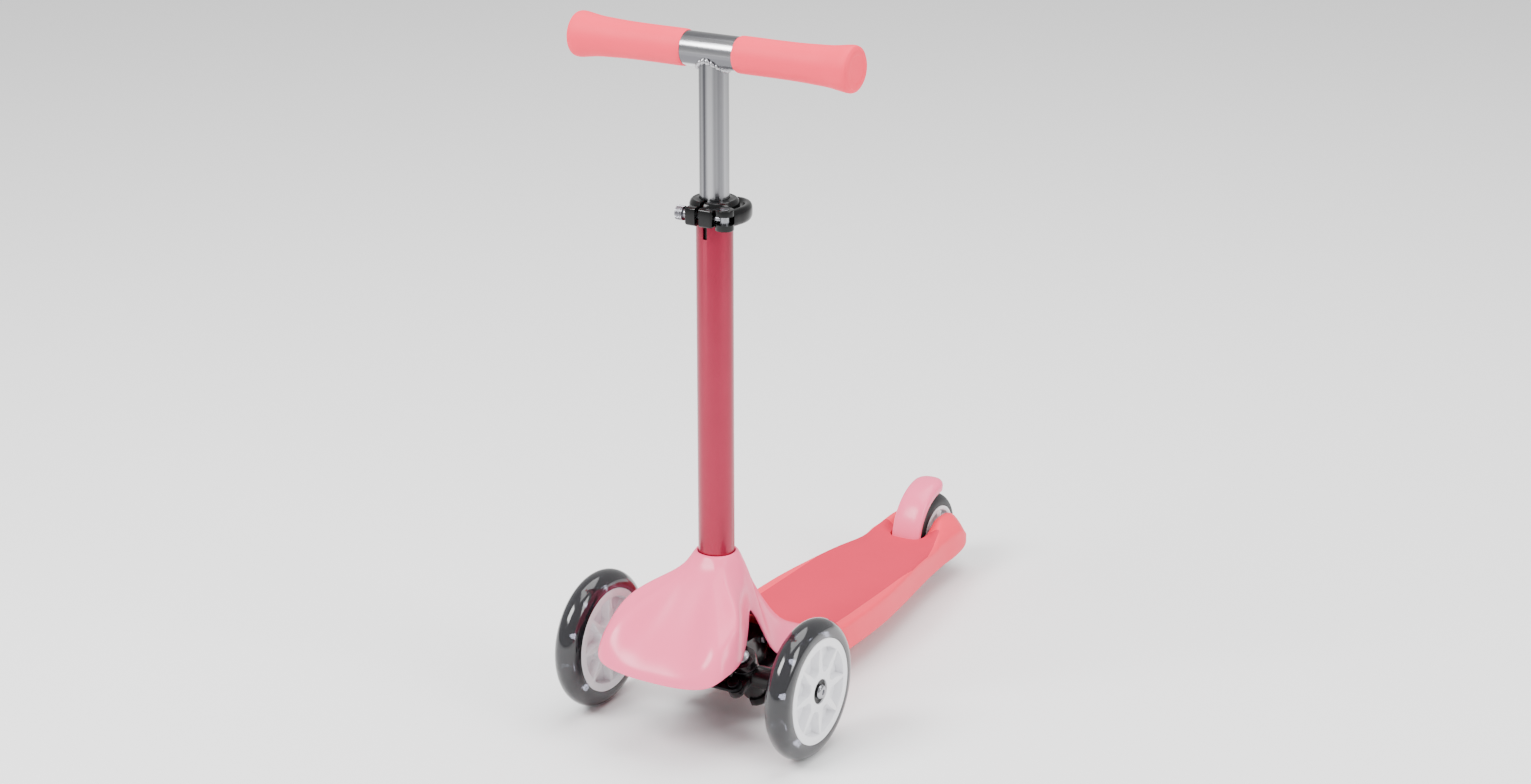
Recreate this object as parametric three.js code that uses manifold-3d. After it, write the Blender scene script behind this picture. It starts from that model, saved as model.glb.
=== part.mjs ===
// A three wheel kids scooter that steers by leaning, as separate pieces at their real size.
// Millimetres. +Z is up, the floor is z = 0, the front faces -Y, and +X is the rider's left.
// The scooter is laid out from the front axle line, and the whole group is shifted along Y at
// the end, so that the origin lies on the floor at the middle of the part.
import * as THREE from 'three';
import { mergeVertices } from 'three/addons/utils/BufferGeometryUtils.js';
import Module from 'manifold-3d';

const wasm = await Module();
wasm.setup();

// Clearances
const seatGap = 0.3; // between pieces that rest on each other
const runGap = 0.15; // around a shaft, on the radius
const pressGap = 0.1; // around a bearing or a sleeve, on the radius
const overrun = 2; // how far a cutting shape runs past what it cuts

// Facets per turn
const fineFacets = 28;
const roundFacets = 20;
const smallFacets = 16;
const nutSides = 6;
const slotSegments = 3; // steps per quarter turn of the wheel slot's mouth
const cornerSegments = 1; // steps per eighth of a turn at the corners of blocks

// Layout
const frontWheelRadius = 62.5;
const rearWheelRadius = 40;
const halfTrack = 107.5; // middle of the part to the middle of a front wheel
const wheelbase = 425;
const stemSetback = 25; // front axle line to the steering column
const tyreHalfWidth = 12;
const bearing = { bore: 4, radius: 11, width: 7, race: 2.2, groove: 0.6 };
const axleRadius = bearing.bore - pressGap;
const kingpin = { radius: 5, offset: 48, headRadius: 7, headHeight: 4.5, nutHeight: 5.5 };
const kingpinTilt = THREE.MathUtils.degToRad(30); // the top of each kingpin leans forward

// Shape helpers. Each returns a closed geometry whose faces point out.
function closed(geometry) {
  const bare = geometry.clone();
  bare.deleteAttribute('normal');
  bare.deleteAttribute('uv');
  const merged = mergeVertices(bare);
  const place = merged.getAttribute('position');
  const source = merged.getIndex().array;
  const kept = [];
  let volume = 0;
  const a = new THREE.Vector3();
  const b = new THREE.Vector3();
  const c = new THREE.Vector3();
  for (let i = 0; i < source.length; i += 3) {
    const [p, q, r] = [source[i], source[i + 1], source[i + 2]];
    if (p === q || q === r || r === p) continue;
    kept.push(p, q, r);
    a.fromBufferAttribute(place, p);
    b.fromBufferAttribute(place, q);
    c.fromBufferAttribute(place, r);
    volume += a.dot(b.cross(c));
  }
  if (volume < 0) {
    for (let i = 0; i < kept.length; i += 3) {
      [kept[i + 1], kept[i + 2]] = [kept[i + 2], kept[i + 1]];
    }
  }
  const result = new THREE.BufferGeometry();
  result.setAttribute('position', place.clone());
  result.setIndex(kept);
  return result;
}

function solid(geometry) {
  const shape = closed(geometry);
  return new wasm.Manifold(new wasm.Mesh({
    numProp: 3,
    vertProperties: new Float32Array(shape.getAttribute('position').array),
    triVerts: new Uint32Array(shape.getIndex().array),
  }));
}

function surface(body) {
  const mesh = body.getMesh();
  const geometry = new THREE.BufferGeometry();
  geometry.setAttribute('position', new THREE.BufferAttribute(mesh.vertProperties, 3));
  geometry.setIndex(new THREE.BufferAttribute(mesh.triVerts, 1));
  return geometry;
}

function join(first, ...others) {
  return surface(others.reduce((sum, geometry) => sum.add(solid(geometry)), solid(first)));
}

function cut(first, ...tools) {
  return surface(tools.reduce((rest, geometry) => rest.subtract(solid(geometry)), solid(first)));
}

function block(xLow, xHigh, yLow, yHigh, zLow, zHigh) {
  const geometry = new THREE.BoxGeometry(xHigh - xLow, yHigh - yLow, zHigh - zLow);
  return geometry.translate((xLow + xHigh) / 2, (yLow + yHigh) / 2, (zLow + zHigh) / 2);
}

// A profile is a list of [radius, height]: it starts and ends on the axis, or is a closed loop.
function turned(profile, facets = roundFacets) {
  const points = profile.map(([radius, height]) => new THREE.Vector2(radius, height));
  const open = profile[0][0] > 0;
  if (open) points.push(points[0].clone());
  return new THREE.LatheGeometry(points, facets);
}

const turnedZ = (profile, facets) => turned(profile, facets).rotateX(Math.PI / 2);
const turnedX = (profile, facets) => turned(profile, facets).rotateZ(-Math.PI / 2);

const pinProfile = (radius, low, high) => [[0, low], [radius, low], [radius, high], [0, high]];
const sleeveProfile = (bore, radius, low, high) => [
  [bore, low], [radius, low], [radius, high], [bore, high],
];
const pinZ = (radius, low, high, facets) => turnedZ(pinProfile(radius, low, high), facets);
const pinX = (radius, low, high, facets) => turnedX(pinProfile(radius, low, high), facets);
const sleeveZ = (bore, radius, low, high, facets) => (
  turnedZ(sleeveProfile(bore, radius, low, high), facets)
);
const sleeveX = (bore, radius, low, high, facets) => (
  turnedX(sleeveProfile(bore, radius, low, high), facets)
);

function prismZ(shape, low, high, curveSegments = 4) {
  const depth = high - low;
  const geometry = new THREE.ExtrudeGeometry(shape, { depth, bevelEnabled: false, curveSegments });
  return geometry.translate(0, 0, low);
}

// A plan or section outline as a shape, with its corners cut to a radius
function roundedBlock(halfX, yLow, yHigh, corner) {
  const shape = new THREE.Shape();
  shape.moveTo(halfX, yLow + corner);
  shape.lineTo(halfX, yHigh - corner);
  shape.absarc(halfX - corner, yHigh - corner, corner, 0, Math.PI / 2);
  shape.absarc(corner - halfX, yHigh - corner, corner, Math.PI / 2, Math.PI);
  shape.absarc(corner - halfX, yLow + corner, corner, Math.PI, 1.5 * Math.PI);
  shape.absarc(halfX - corner, yLow + corner, corner, 1.5 * Math.PI, 2 * Math.PI);
  return shape;
}

// Rings with the same number of points are skinned, and flat faces close the two ends. A ring
// that runs back to the first one is given by "around", and has no end faces.
function loft(rings, around = false) {
  const count = rings[0].length;
  const positions = [];
  for (const ring of rings) {
    for (const point of ring) positions.push(point.x, point.y, point.z);
  }
  const index = [];
  const bands = around ? rings.length : rings.length - 1;
  for (let j = 0; j < bands; j += 1) {
    const next = (j + 1) % rings.length;
    for (let i = 0; i < count; i += 1) {
      const k = (i + 1) % count;
      index.push(j * count + i, j * count + k, next * count + k);
      index.push(j * count + i, next * count + k, next * count + i);
    }
  }
  const last = rings.length - 1;
  const ends = around ? [] : [[rings[0], 0, true], [rings[last], last * count, false]];
  for (const [ring, start, flip] of ends) {
    const across = ring[Math.floor(count / 4)].clone().sub(ring[0]).normalize();
    const opposite = ring[Math.floor(count / 2)].clone().sub(ring[0]);
    const normal = across.clone().cross(opposite).normalize();
    const upward = normal.clone().cross(across);
    const flat = ring.map((p) => new THREE.Vector2(p.dot(across), p.dot(upward)));
    const wound = THREE.ShapeUtils.area(flat) > 0;
    for (const [p, q, r] of THREE.ShapeUtils.triangulateShape(flat, [])) {
      if (wound === flip) index.push(start + p, start + r, start + q);
      else index.push(start + p, start + q, start + r);
    }
  }
  const geometry = new THREE.BufferGeometry();
  geometry.setAttribute('position', new THREE.Float32BufferAttribute(positions, 3));
  geometry.setIndex(index);
  return geometry;
}

// A smooth value between stations given as [station share, value share]
function along(table, share) {
  let i = 0;
  while (i < table.length - 2 && table[i + 1][0] < share) i += 1;
  const before = table[Math.max(i - 1, 0)];
  const [here, next] = [table[i], table[i + 1]];
  const after = table[Math.min(i + 2, table.length - 1)];
  const span = next[0] - here[0];
  const u = THREE.MathUtils.clamp((share - here[0]) / span, 0, 1);
  const slopeHere = ((next[1] - before[1]) / (next[0] - before[0])) * span;
  const slopeNext = ((after[1] - here[1]) / (after[0] - here[0])) * span;
  const u2 = u * u;
  const u3 = u2 * u;
  const kept = (2 * u3 - 3 * u2 + 1) * here[1] + (u3 - 2 * u2 + u) * slopeHere;
  return kept + (3 * u2 - 2 * u3) * next[1] + (u3 - u2) * slopeNext;
}

// Materials
const finish = (color, roughness, metalness = 0) => (
  () => new THREE.MeshStandardMaterial({ color, roughness, metalness })
);
const coralPlastic = finish(0xfa828c, 0.5);
const palePlastic = finish(0xffbccb, 0.25);
const gripRubber = finish(0xff8c94, 0.6);
const blackPlastic = finish(0x141214, 0.35);
const whitePlastic = finish(0xf0f0f0, 0.35);
const smokyTyre = finish(0x3c3c40, 0.3);
const blackTyre = finish(0x1c1c1e, 0.55);
const lampPlastic = finish(0xf4f6ff, 0.2);
const raspberryTube = finish(0xc84b5f, 0.35, 0.6);
const polishedTube = finish(0xb4b4b6, 0.25, 1);
const steel = finish(0x9a9a9e, 0.35, 1);
const blackSteel = finish(0x1a1a1c, 0.4, 0.8);
const darkRubber = finish(0x202022, 0.8);
const greyPlastic = finish(0x8a8a8e, 0.5);

const scooter = new THREE.Group();

function piece(name, geometry, material, parent = scooter) {
  const mesh = new THREE.Mesh(closed(geometry), material());
  mesh.name = name;
  parent.add(mesh);
  return mesh;
}

const sides = [['left', 1], ['right', -1]];

// Wheels: a white spoked hub, two bearings with a spacer between them, and a tyre that sits in
// the hub's channel
const frontHub = { flange: 47.2, barrel: 44, lip: 2.2, boss: 18, pocketReach: 39.5, pockets: 8 };
const rearHub = { flange: 28.5, barrel: 25.5, lip: 2.2, boss: 15, pocketReach: 24.5, pockets: 6 };
const hubHalfWidth = tyreHalfWidth + 0.5 * seatGap;
const hubRecess = 1.5; // face of the hub to the face of its bearing
const spokeWidth = 3.2;
const pocketDepth = 8;
const pocketSegments = 2; // steps per quarter turn of a pocket's corners
const spacerRadius = 6;
const bearingOutside = hubHalfWidth - hubRecess;
const bearingInside = bearingOutside - bearing.width;

function hubGeometry(hub) {
  const seat = bearing.radius + pressGap;
  const channel = hubHalfWidth - hub.lip;
  const ledge = spacerRadius + hub.lip;
  const half = [
    [ledge, bearingInside], [seat, bearingInside], [seat, hubHalfWidth],
    [hub.flange, hubHalfWidth], [hub.flange, channel], [hub.barrel, channel],
  ];
  const mirrored = half.map(([radius, x]) => [radius, -x]).reverse();
  const disc = turnedX([...half, ...mirrored], fineFacets);
  const halfAngle = Math.PI / hub.pockets;
  const halfSpoke = spokeWidth / 2;
  const outerAngle = halfAngle - Math.asin(halfSpoke / hub.pocketReach);
  const innerRadius = hub.boss * Math.tan(halfAngle) - halfSpoke;
  const pocket = new THREE.Shape();
  const centre = hub.boss + innerRadius;
  pocket.absarc(centre, 0, innerRadius, Math.PI / 2, 1.5 * Math.PI);
  pocket.absarc(0, 0, hub.pocketReach, -outerAngle, outerAngle);
  const tools = [];
  for (let i = 0; i < hub.pockets; i += 1) {
    for (const side of [1, -1]) {
      const tool = prismZ(pocket, hubHalfWidth - pocketDepth, hubHalfWidth + overrun, pocketSegments);
      tool.rotateZ((i + 0.5) * 2 * halfAngle).rotateY(Math.PI / 2);
      tools.push(tool.scale(side, 1, 1));
    }
  }
  return cut(disc, ...tools);
}

// The tyre's crown is a half circle across its width
function tyreGeometry(radius, hub, crownRadius, channelHalf, channelRadius) {
  const steps = 8;
  const seat = hub.barrel + seatGap;
  const shoulder = hub.flange + seatGap;
  const inner = hubHalfWidth - hub.lip - seatGap;
  const profile = [];
  for (let i = 0; i <= steps; i += 1) {
    const angle = (i / steps - 0.5) * Math.PI;
    const drop = crownRadius * (1 - Math.cos(angle));
    profile.push([radius - drop, tyreHalfWidth * Math.sin(angle)]);
  }
  profile.push([shoulder, tyreHalfWidth], [shoulder, inner], [seat, inner]);
  if (channelRadius > 0) {
    profile.push([seat, channelHalf], [channelRadius, channelHalf]);
    profile.push([channelRadius, -channelHalf], [seat, -channelHalf]);
  }
  profile.push([seat, -inner], [shoulder, -inner], [shoulder, -tyreHalfWidth]);
  return turnedX(profile, fineFacets);
}

function bearingGeometry() {
  const half = bearing.width / 2;
  const innerRace = bearing.bore + bearing.race;
  const outerRace = bearing.radius - bearing.race;
  const shield = half - bearing.groove;
  return turnedX([
    [bearing.bore, -half], [bearing.radius, -half], [bearing.radius, half], [outerRace, half],
    [outerRace, shield], [innerRace, shield], [innerRace, half], [bearing.bore, half],
  ], smallFacets);
}

function bearingPair(wheelName, group) {
  for (const [place, side] of [['outer', 1], ['inner', -1]]) {
    const mesh = piece(`${wheelName}_bearing_${place}`, bearingGeometry().scale(side, 1, 1), steel, group);
    mesh.position.x = side * (bearingOutside - bearing.width / 2);
  }
}

// Lamp ring: a band on the hub's barrel with lamp domes, inside the tyre's channel
const lamps = { count: 10, dome: 3.4, band: 1.6, bandHalf: 4.6 };
const firstLamp = THREE.MathUtils.degToRad(94);
const lampChannel = {
  half: lamps.bandHalf + seatGap, radius: frontHub.barrel + 2 * lamps.dome + 2 * seatGap,
};

function lampRingGeometry() {
  const bore = frontHub.barrel + seatGap;
  const band = sleeveX(bore, bore + lamps.band, -lamps.bandHalf, lamps.bandHalf, fineFacets);
  const domes = [];
  for (let i = 0; i < lamps.count; i += 1) {
    const angle = firstLamp + (i / lamps.count) * 2 * Math.PI;
    const dome = new THREE.SphereGeometry(lamps.dome, 6, 4);
    const reach = bore + lamps.dome;
    domes.push(dome.translate(0, reach * Math.cos(angle), reach * Math.sin(angle)));
  }
  return join(band, ...domes);
}

// Steering knuckles, kingpins and tie rod, in a frame that leans with the kingpins
const knuckle = {
  barrel: 11, top: 12.7, bottom: -21.7, armRadius: 10, armFlange: 11.5, flangeWidth: 4,
  leverLow: 2, leverHigh: 9, leverReach: 22, leverHalf: 7, leverRoot: 6,
};
const ear = { radius: 12, upperLow: 16, upperHigh: 23, lowerLow: -30, lowerHigh: -22 };
const tieRod = { half: 5, thickness: 4, pin: 3, headRadius: 5, headHeight: 2.5 };
const axleSpacer = 2.5;
const knuckleFace = halfTrack - bearingOutside - axleSpacer - 2 * seatGap;

const steering = new THREE.Group();
steering.position.z = frontWheelRadius;
steering.rotation.x = kingpinTilt;
scooter.add(steering);

function knuckleGeometry(side) {
  const face = knuckleFace - kingpin.offset;
  const barrel = pinZ(knuckle.barrel, knuckle.bottom, knuckle.top);
  const arm = turnedX([
    [0, 0], [knuckle.armRadius, 0], [knuckle.armRadius, face - knuckle.flangeWidth],
    [knuckle.armFlange, face - knuckle.flangeWidth], [knuckle.armFlange, face], [0, face],
  ]);
  const lever = new THREE.Shape();
  lever.absarc(0, 0, knuckle.leverHalf + knuckle.leverRoot / 2, 0, Math.PI);
  lever.absarc(0, -knuckle.leverReach, knuckle.leverHalf, Math.PI, 2 * Math.PI);
  const plate = prismZ(lever, knuckle.leverLow, knuckle.leverHigh);
  const body = join(barrel, arm, plate);
  const kingpinBore = pinZ(kingpin.radius + runGap, knuckle.bottom - overrun, knuckle.top + overrun);
  const threadStart = knuckle.barrel + overrun;
  const axleBore = pinX(axleRadius + runGap, threadStart, face + overrun, smallFacets);
  const pinLow = knuckle.leverLow - overrun;
  const pinBore = pinZ(tieRod.pin + runGap, pinLow, knuckle.leverHigh + overrun, smallFacets);
  pinBore.translate(0, -knuckle.leverReach, 0);
  return cut(body, kingpinBore, axleBore, pinBore).scale(side, 1, 1);
}

for (const [name, side] of sides) {
  const place = new THREE.Group();
  place.position.x = side * kingpin.offset;
  steering.add(place);
  piece(`steering_knuckle_${name}`, knuckleGeometry(side), blackPlastic, place);
  const headLow = ear.upperHigh + seatGap;
  const shaftLow = ear.lowerLow - seatGap - kingpin.nutHeight;
  piece(`kingpin_${name}`, turnedZ([
    [0, shaftLow], [kingpin.radius, shaftLow], [kingpin.radius, headLow], [kingpin.headRadius, headLow],
    [kingpin.headRadius, headLow + kingpin.headHeight / 2],
    [kingpin.headRadius / 2, headLow + kingpin.headHeight], [0, headLow + kingpin.headHeight],
  ], smallFacets), steel, place);
  const nutTop = ear.lowerLow - seatGap;
  const nutLow = nutTop - kingpin.nutHeight;
  const nut = pinZ(kingpin.headRadius + kingpin.radius / 4, nutLow, nutTop, nutSides);
  const thread = pinZ(kingpin.radius + runGap, nutLow - overrun, nutTop + overrun, smallFacets);
  piece(`kingpin_nut_${name}`, cut(nut, thread), steel, place);
  const bush = sleeveZ(kingpin.radius + runGap, knuckle.barrel - runGap, knuckle.top + seatGap,
    ear.upperLow - seatGap);
  piece(`kingpin_bush_${name}`, bush, darkRubber, place);
  const pinHead = knuckle.leverHigh + tieRod.thickness + 3 * seatGap;
  const pinMesh = piece(`tie_rod_pin_${name}`, turnedZ([
    [0, knuckle.leverLow], [tieRod.pin, knuckle.leverLow], [tieRod.pin, pinHead],
    [tieRod.headRadius, pinHead], [tieRod.headRadius, pinHead + tieRod.headHeight],
    [0, pinHead + tieRod.headHeight],
  ], smallFacets), blackSteel, place);
  pinMesh.position.y = -knuckle.leverReach;
}

function tieRodGeometry() {
  const shape = new THREE.Shape();
  shape.absarc(kingpin.offset, 0, tieRod.half + tieRod.pin / 2, -Math.PI / 2, Math.PI / 2);
  shape.absarc(-kingpin.offset, 0, tieRod.half + tieRod.pin / 2, Math.PI / 2, 1.5 * Math.PI);
  const low = knuckle.leverHigh + seatGap;
  const bar = prismZ(shape, low, low + tieRod.thickness);
  const bores = sides.map(([, side]) => {
    const bore = pinZ(tieRod.pin + runGap, low - overrun, low + tieRod.thickness + overrun, smallFacets);
    return bore.translate(side * kingpin.offset, 0, 0);
  });
  return cut(bar, ...bores);
}
piece('tie_rod', tieRodGeometry(), blackSteel, steering).position.y = -knuckle.leverReach;

// Front wheels. Each stands square to the floor on an axle screwed into its knuckle.
const axleHead = { radius: 6.3, height: 4, threadLength: 18 };

for (const [name, side] of sides) {
  const wheel = new THREE.Group();
  wheel.position.set(side * halfTrack, 0, frontWheelRadius);
  wheel.rotation.z = side > 0 ? 0 : Math.PI;
  scooter.add(wheel);
  const label = `front_${name}`;
  piece(`${label}_hub`, hubGeometry(frontHub), whitePlastic, wheel);
  const tyre = tyreGeometry(frontWheelRadius, frontHub, tyreHalfWidth, lampChannel.half,
    lampChannel.radius);
  piece(`${label}_tyre`, tyre, smokyTyre, wheel);
  piece(`${label}_lamp_ring`, lampRingGeometry(), lampPlastic, wheel);
  bearingPair(label, wheel);
  const axleBore = axleRadius + runGap;
  const inside = bearingInside - seatGap;
  piece(`${label}_bearing_spacer`, sleeveX(axleBore, spacerRadius, -inside, inside, smallFacets), steel,
    wheel);
  const outside = -bearingOutside - seatGap;
  piece(`${label}_axle_spacer`, sleeveX(axleBore, spacerRadius, outside - axleSpacer, outside,
    smallFacets), steel, wheel);
  const headStart = bearingOutside + seatGap;
  const threadEnd = outside - axleSpacer - axleHead.threadLength;
  piece(`${label}_axle`, turnedX([
    [0, threadEnd], [axleRadius, threadEnd], [axleRadius, headStart], [axleHead.radius, headStart],
    [axleHead.radius, headStart + axleHead.height / 2],
    [axleHead.radius / 2, headStart + axleHead.height], [0, headStart + axleHead.height],
  ], smallFacets), steel, wheel);
}

// Deck: a hollow moulding with ribs below, a slot for the rear wheel, and a raised cheek on
// each side of it
const deck = {
  front: 78, tail: 25, halfWidth: 58, top: 52.5, bottom: 24.5, ridgeRise: 11.8, edgeFall: 19,
  fallCurve: 1.5, tailRise: 6, wall: 4, sideWall: 6, rib: 3, slotReach: 59, mouthReach: 54.5, edge: 3.3,
  edgeDrop: 5, hem: 4,
};
const deckLength = wheelbase + deck.tail - deck.front; // the tail reaches past the rear axle
const deckWidthShares = [
  [0, 0.862], [0.06, 0.905], [0.154, 0.966], [0.236, 0.997], [0.33, 1], [0.425, 0.974],
  [0.528, 0.903], [0.653, 0.795], [0.737, 0.725], [0.832, 0.674], [0.913, 0.664], [0.959, 0.638],
  [0.986, 0.569], [1, 0.483],
];
// On each side of the wheel a ridge rises. It starts at the deck's edge and runs back and inward.
const ridgeRiseShares = [
  [0, 0], [0.77, 0], [0.78, 0], [0.8, 0.12], [0.825, 0.37], [0.85, 0.68], [0.872, 0.92], [0.9, 1],
  [0.93, 0.96], [0.95, 0.8], [0.965, 0.6], [0.98, 0.3], [1, -0.25],
];
const ridgePlaceShares = [
  [0, 0.5], [0.7, 0.5], [0.77, 0.75], [0.8, 0.88], [0.825, 0.79], [0.85, 0.7], [0.872, 0.62], [0.9, 0.56],
  [0.93, 0.54], [1, 0.53],
];
const lipRiseShares = [[0, 0], [0.8, 0], [0.83, 0.04], [0.852, 0.38], [0.873, 0.84], [0.9, 0.9], [1, 1]];
// How far the deck's edge lies below its flat top
const edgeFallShares = [
  [0, 0], [0.6, 0], [0.61, 0], [0.66, 0.03], [0.71, 0.11], [0.755, 0.2], [0.8, 0.2], [0.87, 0.14],
  [0.925, 0.15], [0.945, 0.27], [0.962, 0.55], [0.978, 0.8], [1, 1],
];
const tailRiseShares = [[0, 0], [0.89, 0], [0.9, 0], [0.95, 0.35], [1, 1]];
const deckStationShares = [
  0, 0.07, 0.18, 0.3, 0.41, 0.52, 0.61, 0.68, 0.73, 0.77, 0.8, 0.825, 0.85, 0.875, 0.905, 0.935, 0.955,
  0.975, 0.99, 1,
];
const crestShares = [0, 0.22, 0.36, 0.46, 0.55, 0.64, 0.75, 0.86]; // points across the top
const ridgeFoot = 0.45; // where the ridge's inner slope ends, as a share of the half width
const deckWidthAt = (share) => deck.halfWidth * along(deckWidthShares, share);
const wheelSlot = {
  half: 17.5, corner: 10, front: wheelbase - deck.slotReach, mouth: wheelbase - deck.mouthReach,
  back: deck.front + deckLength + overrun,
};

// The deck's top, from its middle to its edge: up the ridge's inner slope, and down to the edge
function deckHeight(share, across) {
  const rise = deck.ridgeRise * along(ridgeRiseShares, share);
  const ridge = along(ridgePlaceShares, share);
  if (across <= ridge) {
    const up = THREE.MathUtils.smoothstep(across, ridgeFoot, ridge);
    return deck.top + rise * THREE.MathUtils.lerp(along(lipRiseShares, share), 1, up);
  }
  const fall = deck.edgeFall * along(edgeFallShares, share);
  return deck.top + rise - (rise + fall) * ((across - ridge) / (1 - ridge)) ** deck.fallCurve;
}

function deckSection(share) {
  const y = deck.front + deckLength * share;
  const width = deckWidthAt(share);
  const bottom = deck.bottom + deck.tailRise * along(tailRiseShares, share);
  const heightAt = (across) => deckHeight(share, across);
  const half = crestShares.map((across) => [across * width, heightAt(across)]);
  const shoulder = heightAt((width - deck.edge / 2) / width);
  const firm = Math.min((shoulder - bottom) / (deck.top - deck.bottom), 1);
  const drop = deck.edgeDrop * firm;
  half.push([width - deck.edge, shoulder - drop * 0.08]);
  half.push([width - deck.edge * 0.3, shoulder - drop * 0.4]);
  half.push([width, shoulder - drop]);
  half.push([width, bottom + deck.hem * firm]);
  half.push([width - deck.hem / 2, bottom]);
  const ring = half.map(([x, z]) => new THREE.Vector3(x, y, z));
  for (const [x, z] of half.slice(1).reverse()) ring.push(new THREE.Vector3(-x, y, z));
  return ring;
}

// Bays between the ribs, cut from below
const bayRows = 5;
const bayBack = wheelSlot.front - deck.wall;

function deckBays() {
  const tools = [];
  const bayFront = deck.front + housing.tongueReach + deck.rib;
  const pitch = (bayBack - bayFront) / bayRows;
  const widthAtY = (y) => deckWidthAt((y - deck.front) / deckLength) - deck.sideWall;
  for (let row = 0; row < bayRows; row += 1) {
    const start = bayFront + row * pitch + deck.rib / 2;
    const end = bayFront + (row + 1) * pitch - deck.rib / 2;
    const middle = (start + end) / 2;
    for (const [, side] of sides) {
      const shape = new THREE.Shape();
      shape.moveTo(deck.rib / 2, start);
      shape.lineTo(widthAtY(start), start);
      shape.lineTo(widthAtY(middle), middle);
      shape.lineTo(widthAtY(end), end);
      shape.lineTo(deck.rib / 2, end);
      tools.push(prismZ(shape, deck.bottom - overrun, deck.top - deck.wall).scale(side, 1, 1));
    }
  }
  return tools;
}

// Truck housing sizes, because its tongue fits the deck
const housing = {
  halfWidth: 44, waist: 32, bottom: 26, back: deck.front - seatGap, blockFront: 36, blockBack: 62,
  blockTop: 80, blockFace: 4, plateFront: -10, lowerFront: 5, plateBack: 30, webFront: 18, corner: 6,
  tongueHalf: 34, tongueReach: 42, tongueThickness: 15, floor: 8, boss: 22, bossTop: 114,
  bellyFront: 41, bellyLength: 42, bellyDepth: 30,
};
const bellyTilt = THREE.MathUtils.degToRad(22.8); // the housing's front slants up from below
const screw = { radius: 2, headRadius: 4, headHeight: 2, length: 14, y: 50, z: 73 };
const tongueTop = deck.top - deck.wall - seatGap;
const deckBolt = { radius: 3, headRadius: 5.5, headHeight: 3.5, spacing: 22, setback: 24, bite: 2.5 };

// Rear axle, a bolt that comes from the right and screws into the left cheek, and brake hinge
const rearAxle = { headRadius: 6.5, headHeight: 4.5, seat: 31, end: 32 };
const brake = {
  inner: 43.5, arch: 53, archBack: 2, archRise: 4, half: 15.2, boss: 5.5, bossHalf: 9, pin: 3, pinHalf: 25,
  hingeBack: 49, hingeDrop: 7, startAngle: -16, tipAngle: 104,
};
const hingeY = wheelbase - brake.hingeBack;
const hingeZ = rearWheelRadius - brake.hingeDrop;

function deckGeometry() {
  const body = loft(deckStationShares.map(deckSection));
  const room = block(-wheelSlot.half, wheelSlot.half, wheelSlot.front, wheelSlot.back, 0,
    deck.top - 2 * deck.wall);
  const mouth = new THREE.Shape();
  const corner = wheelSlot.half - wheelSlot.corner;
  mouth.absarc(-corner, wheelSlot.mouth + wheelSlot.corner, wheelSlot.corner, Math.PI, 1.5 * Math.PI);
  mouth.absarc(corner, wheelSlot.mouth + wheelSlot.corner, wheelSlot.corner, 1.5 * Math.PI, 2 * Math.PI);
  mouth.lineTo(wheelSlot.half, wheelSlot.back);
  mouth.lineTo(-wheelSlot.half, wheelSlot.back);
  const slot = prismZ(mouth, 0, deck.top + deck.ridgeRise + overrun, slotSegments);
  const socketHalf = housing.tongueHalf + seatGap;
  const socket = block(-socketHalf, socketHalf, deck.front - overrun,
    deck.front + housing.tongueReach, deck.bottom - overrun, deck.top - deck.wall);
  const saddle = block(-brake.pinHalf - seatGap, brake.pinHalf + seatGap, hingeY - brake.pin - runGap,
    hingeY + brake.pin + runGap, deck.bottom - overrun, hingeZ);
  const hingeEnd = brake.pinHalf + seatGap;
  const hingeBore = pinX(brake.pin + runGap, -hingeEnd, hingeEnd, smallFacets);
  hingeBore.translate(0, hingeY, hingeZ);
  const axleBore = pinX(axleRadius + runGap, -deck.halfWidth, rearAxle.end + seatGap, smallFacets);
  axleBore.translate(0, wheelbase, rearWheelRadius);
  const counterbore = pinX(rearAxle.headRadius + 2 * seatGap, -deck.halfWidth, seatGap - rearAxle.seat,
    smallFacets);
  counterbore.translate(0, wheelbase, rearWheelRadius);
  const boltBores = sides.map(([, side]) => {
    const tool = pinZ(deckBolt.radius + runGap, deck.top - deck.wall - overrun,
      deck.top - deck.wall + deckBolt.bite + seatGap, smallFacets);
    return tool.translate(side * deckBolt.spacing, deck.front + deckBolt.setback, 0);
  });
  return cut(body, ...deckBays(), room, slot, socket, saddle, hingeBore, axleBore, counterbore,
    ...boltBores);
}
piece('deck', deckGeometry(), coralPlastic);

// Steering column: lower tube, the plug and bolt that hold its foot, and the sleeve at its top
const lowerTube = { radius: 15.9, wall: 1.6, foot: 50, top: 475, slit: 29.3, slitHalf: 2 };
const upperTube = { radius: 12.7, wall: 1.5, insertion: 186 };
const crossbar = { height: 604, radius: 14.5, wall: 1.8, half: 120 };
const lowerBore = lowerTube.radius - lowerTube.wall;
const column = new THREE.Group();
column.position.y = stemSetback;
scooter.add(column);

function lowerTubeGeometry() {
  const tube = sleeveZ(lowerBore, lowerTube.radius, lowerTube.foot, lowerTube.top);
  const slit = block(-lowerTube.slitHalf, lowerTube.slitHalf, -lowerTube.radius - overrun, 0,
    lowerTube.top - lowerTube.slit, lowerTube.top + overrun);
  return cut(tube, slit);
}
piece('lower_tube', lowerTubeGeometry(), raspberryTube, column);

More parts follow.
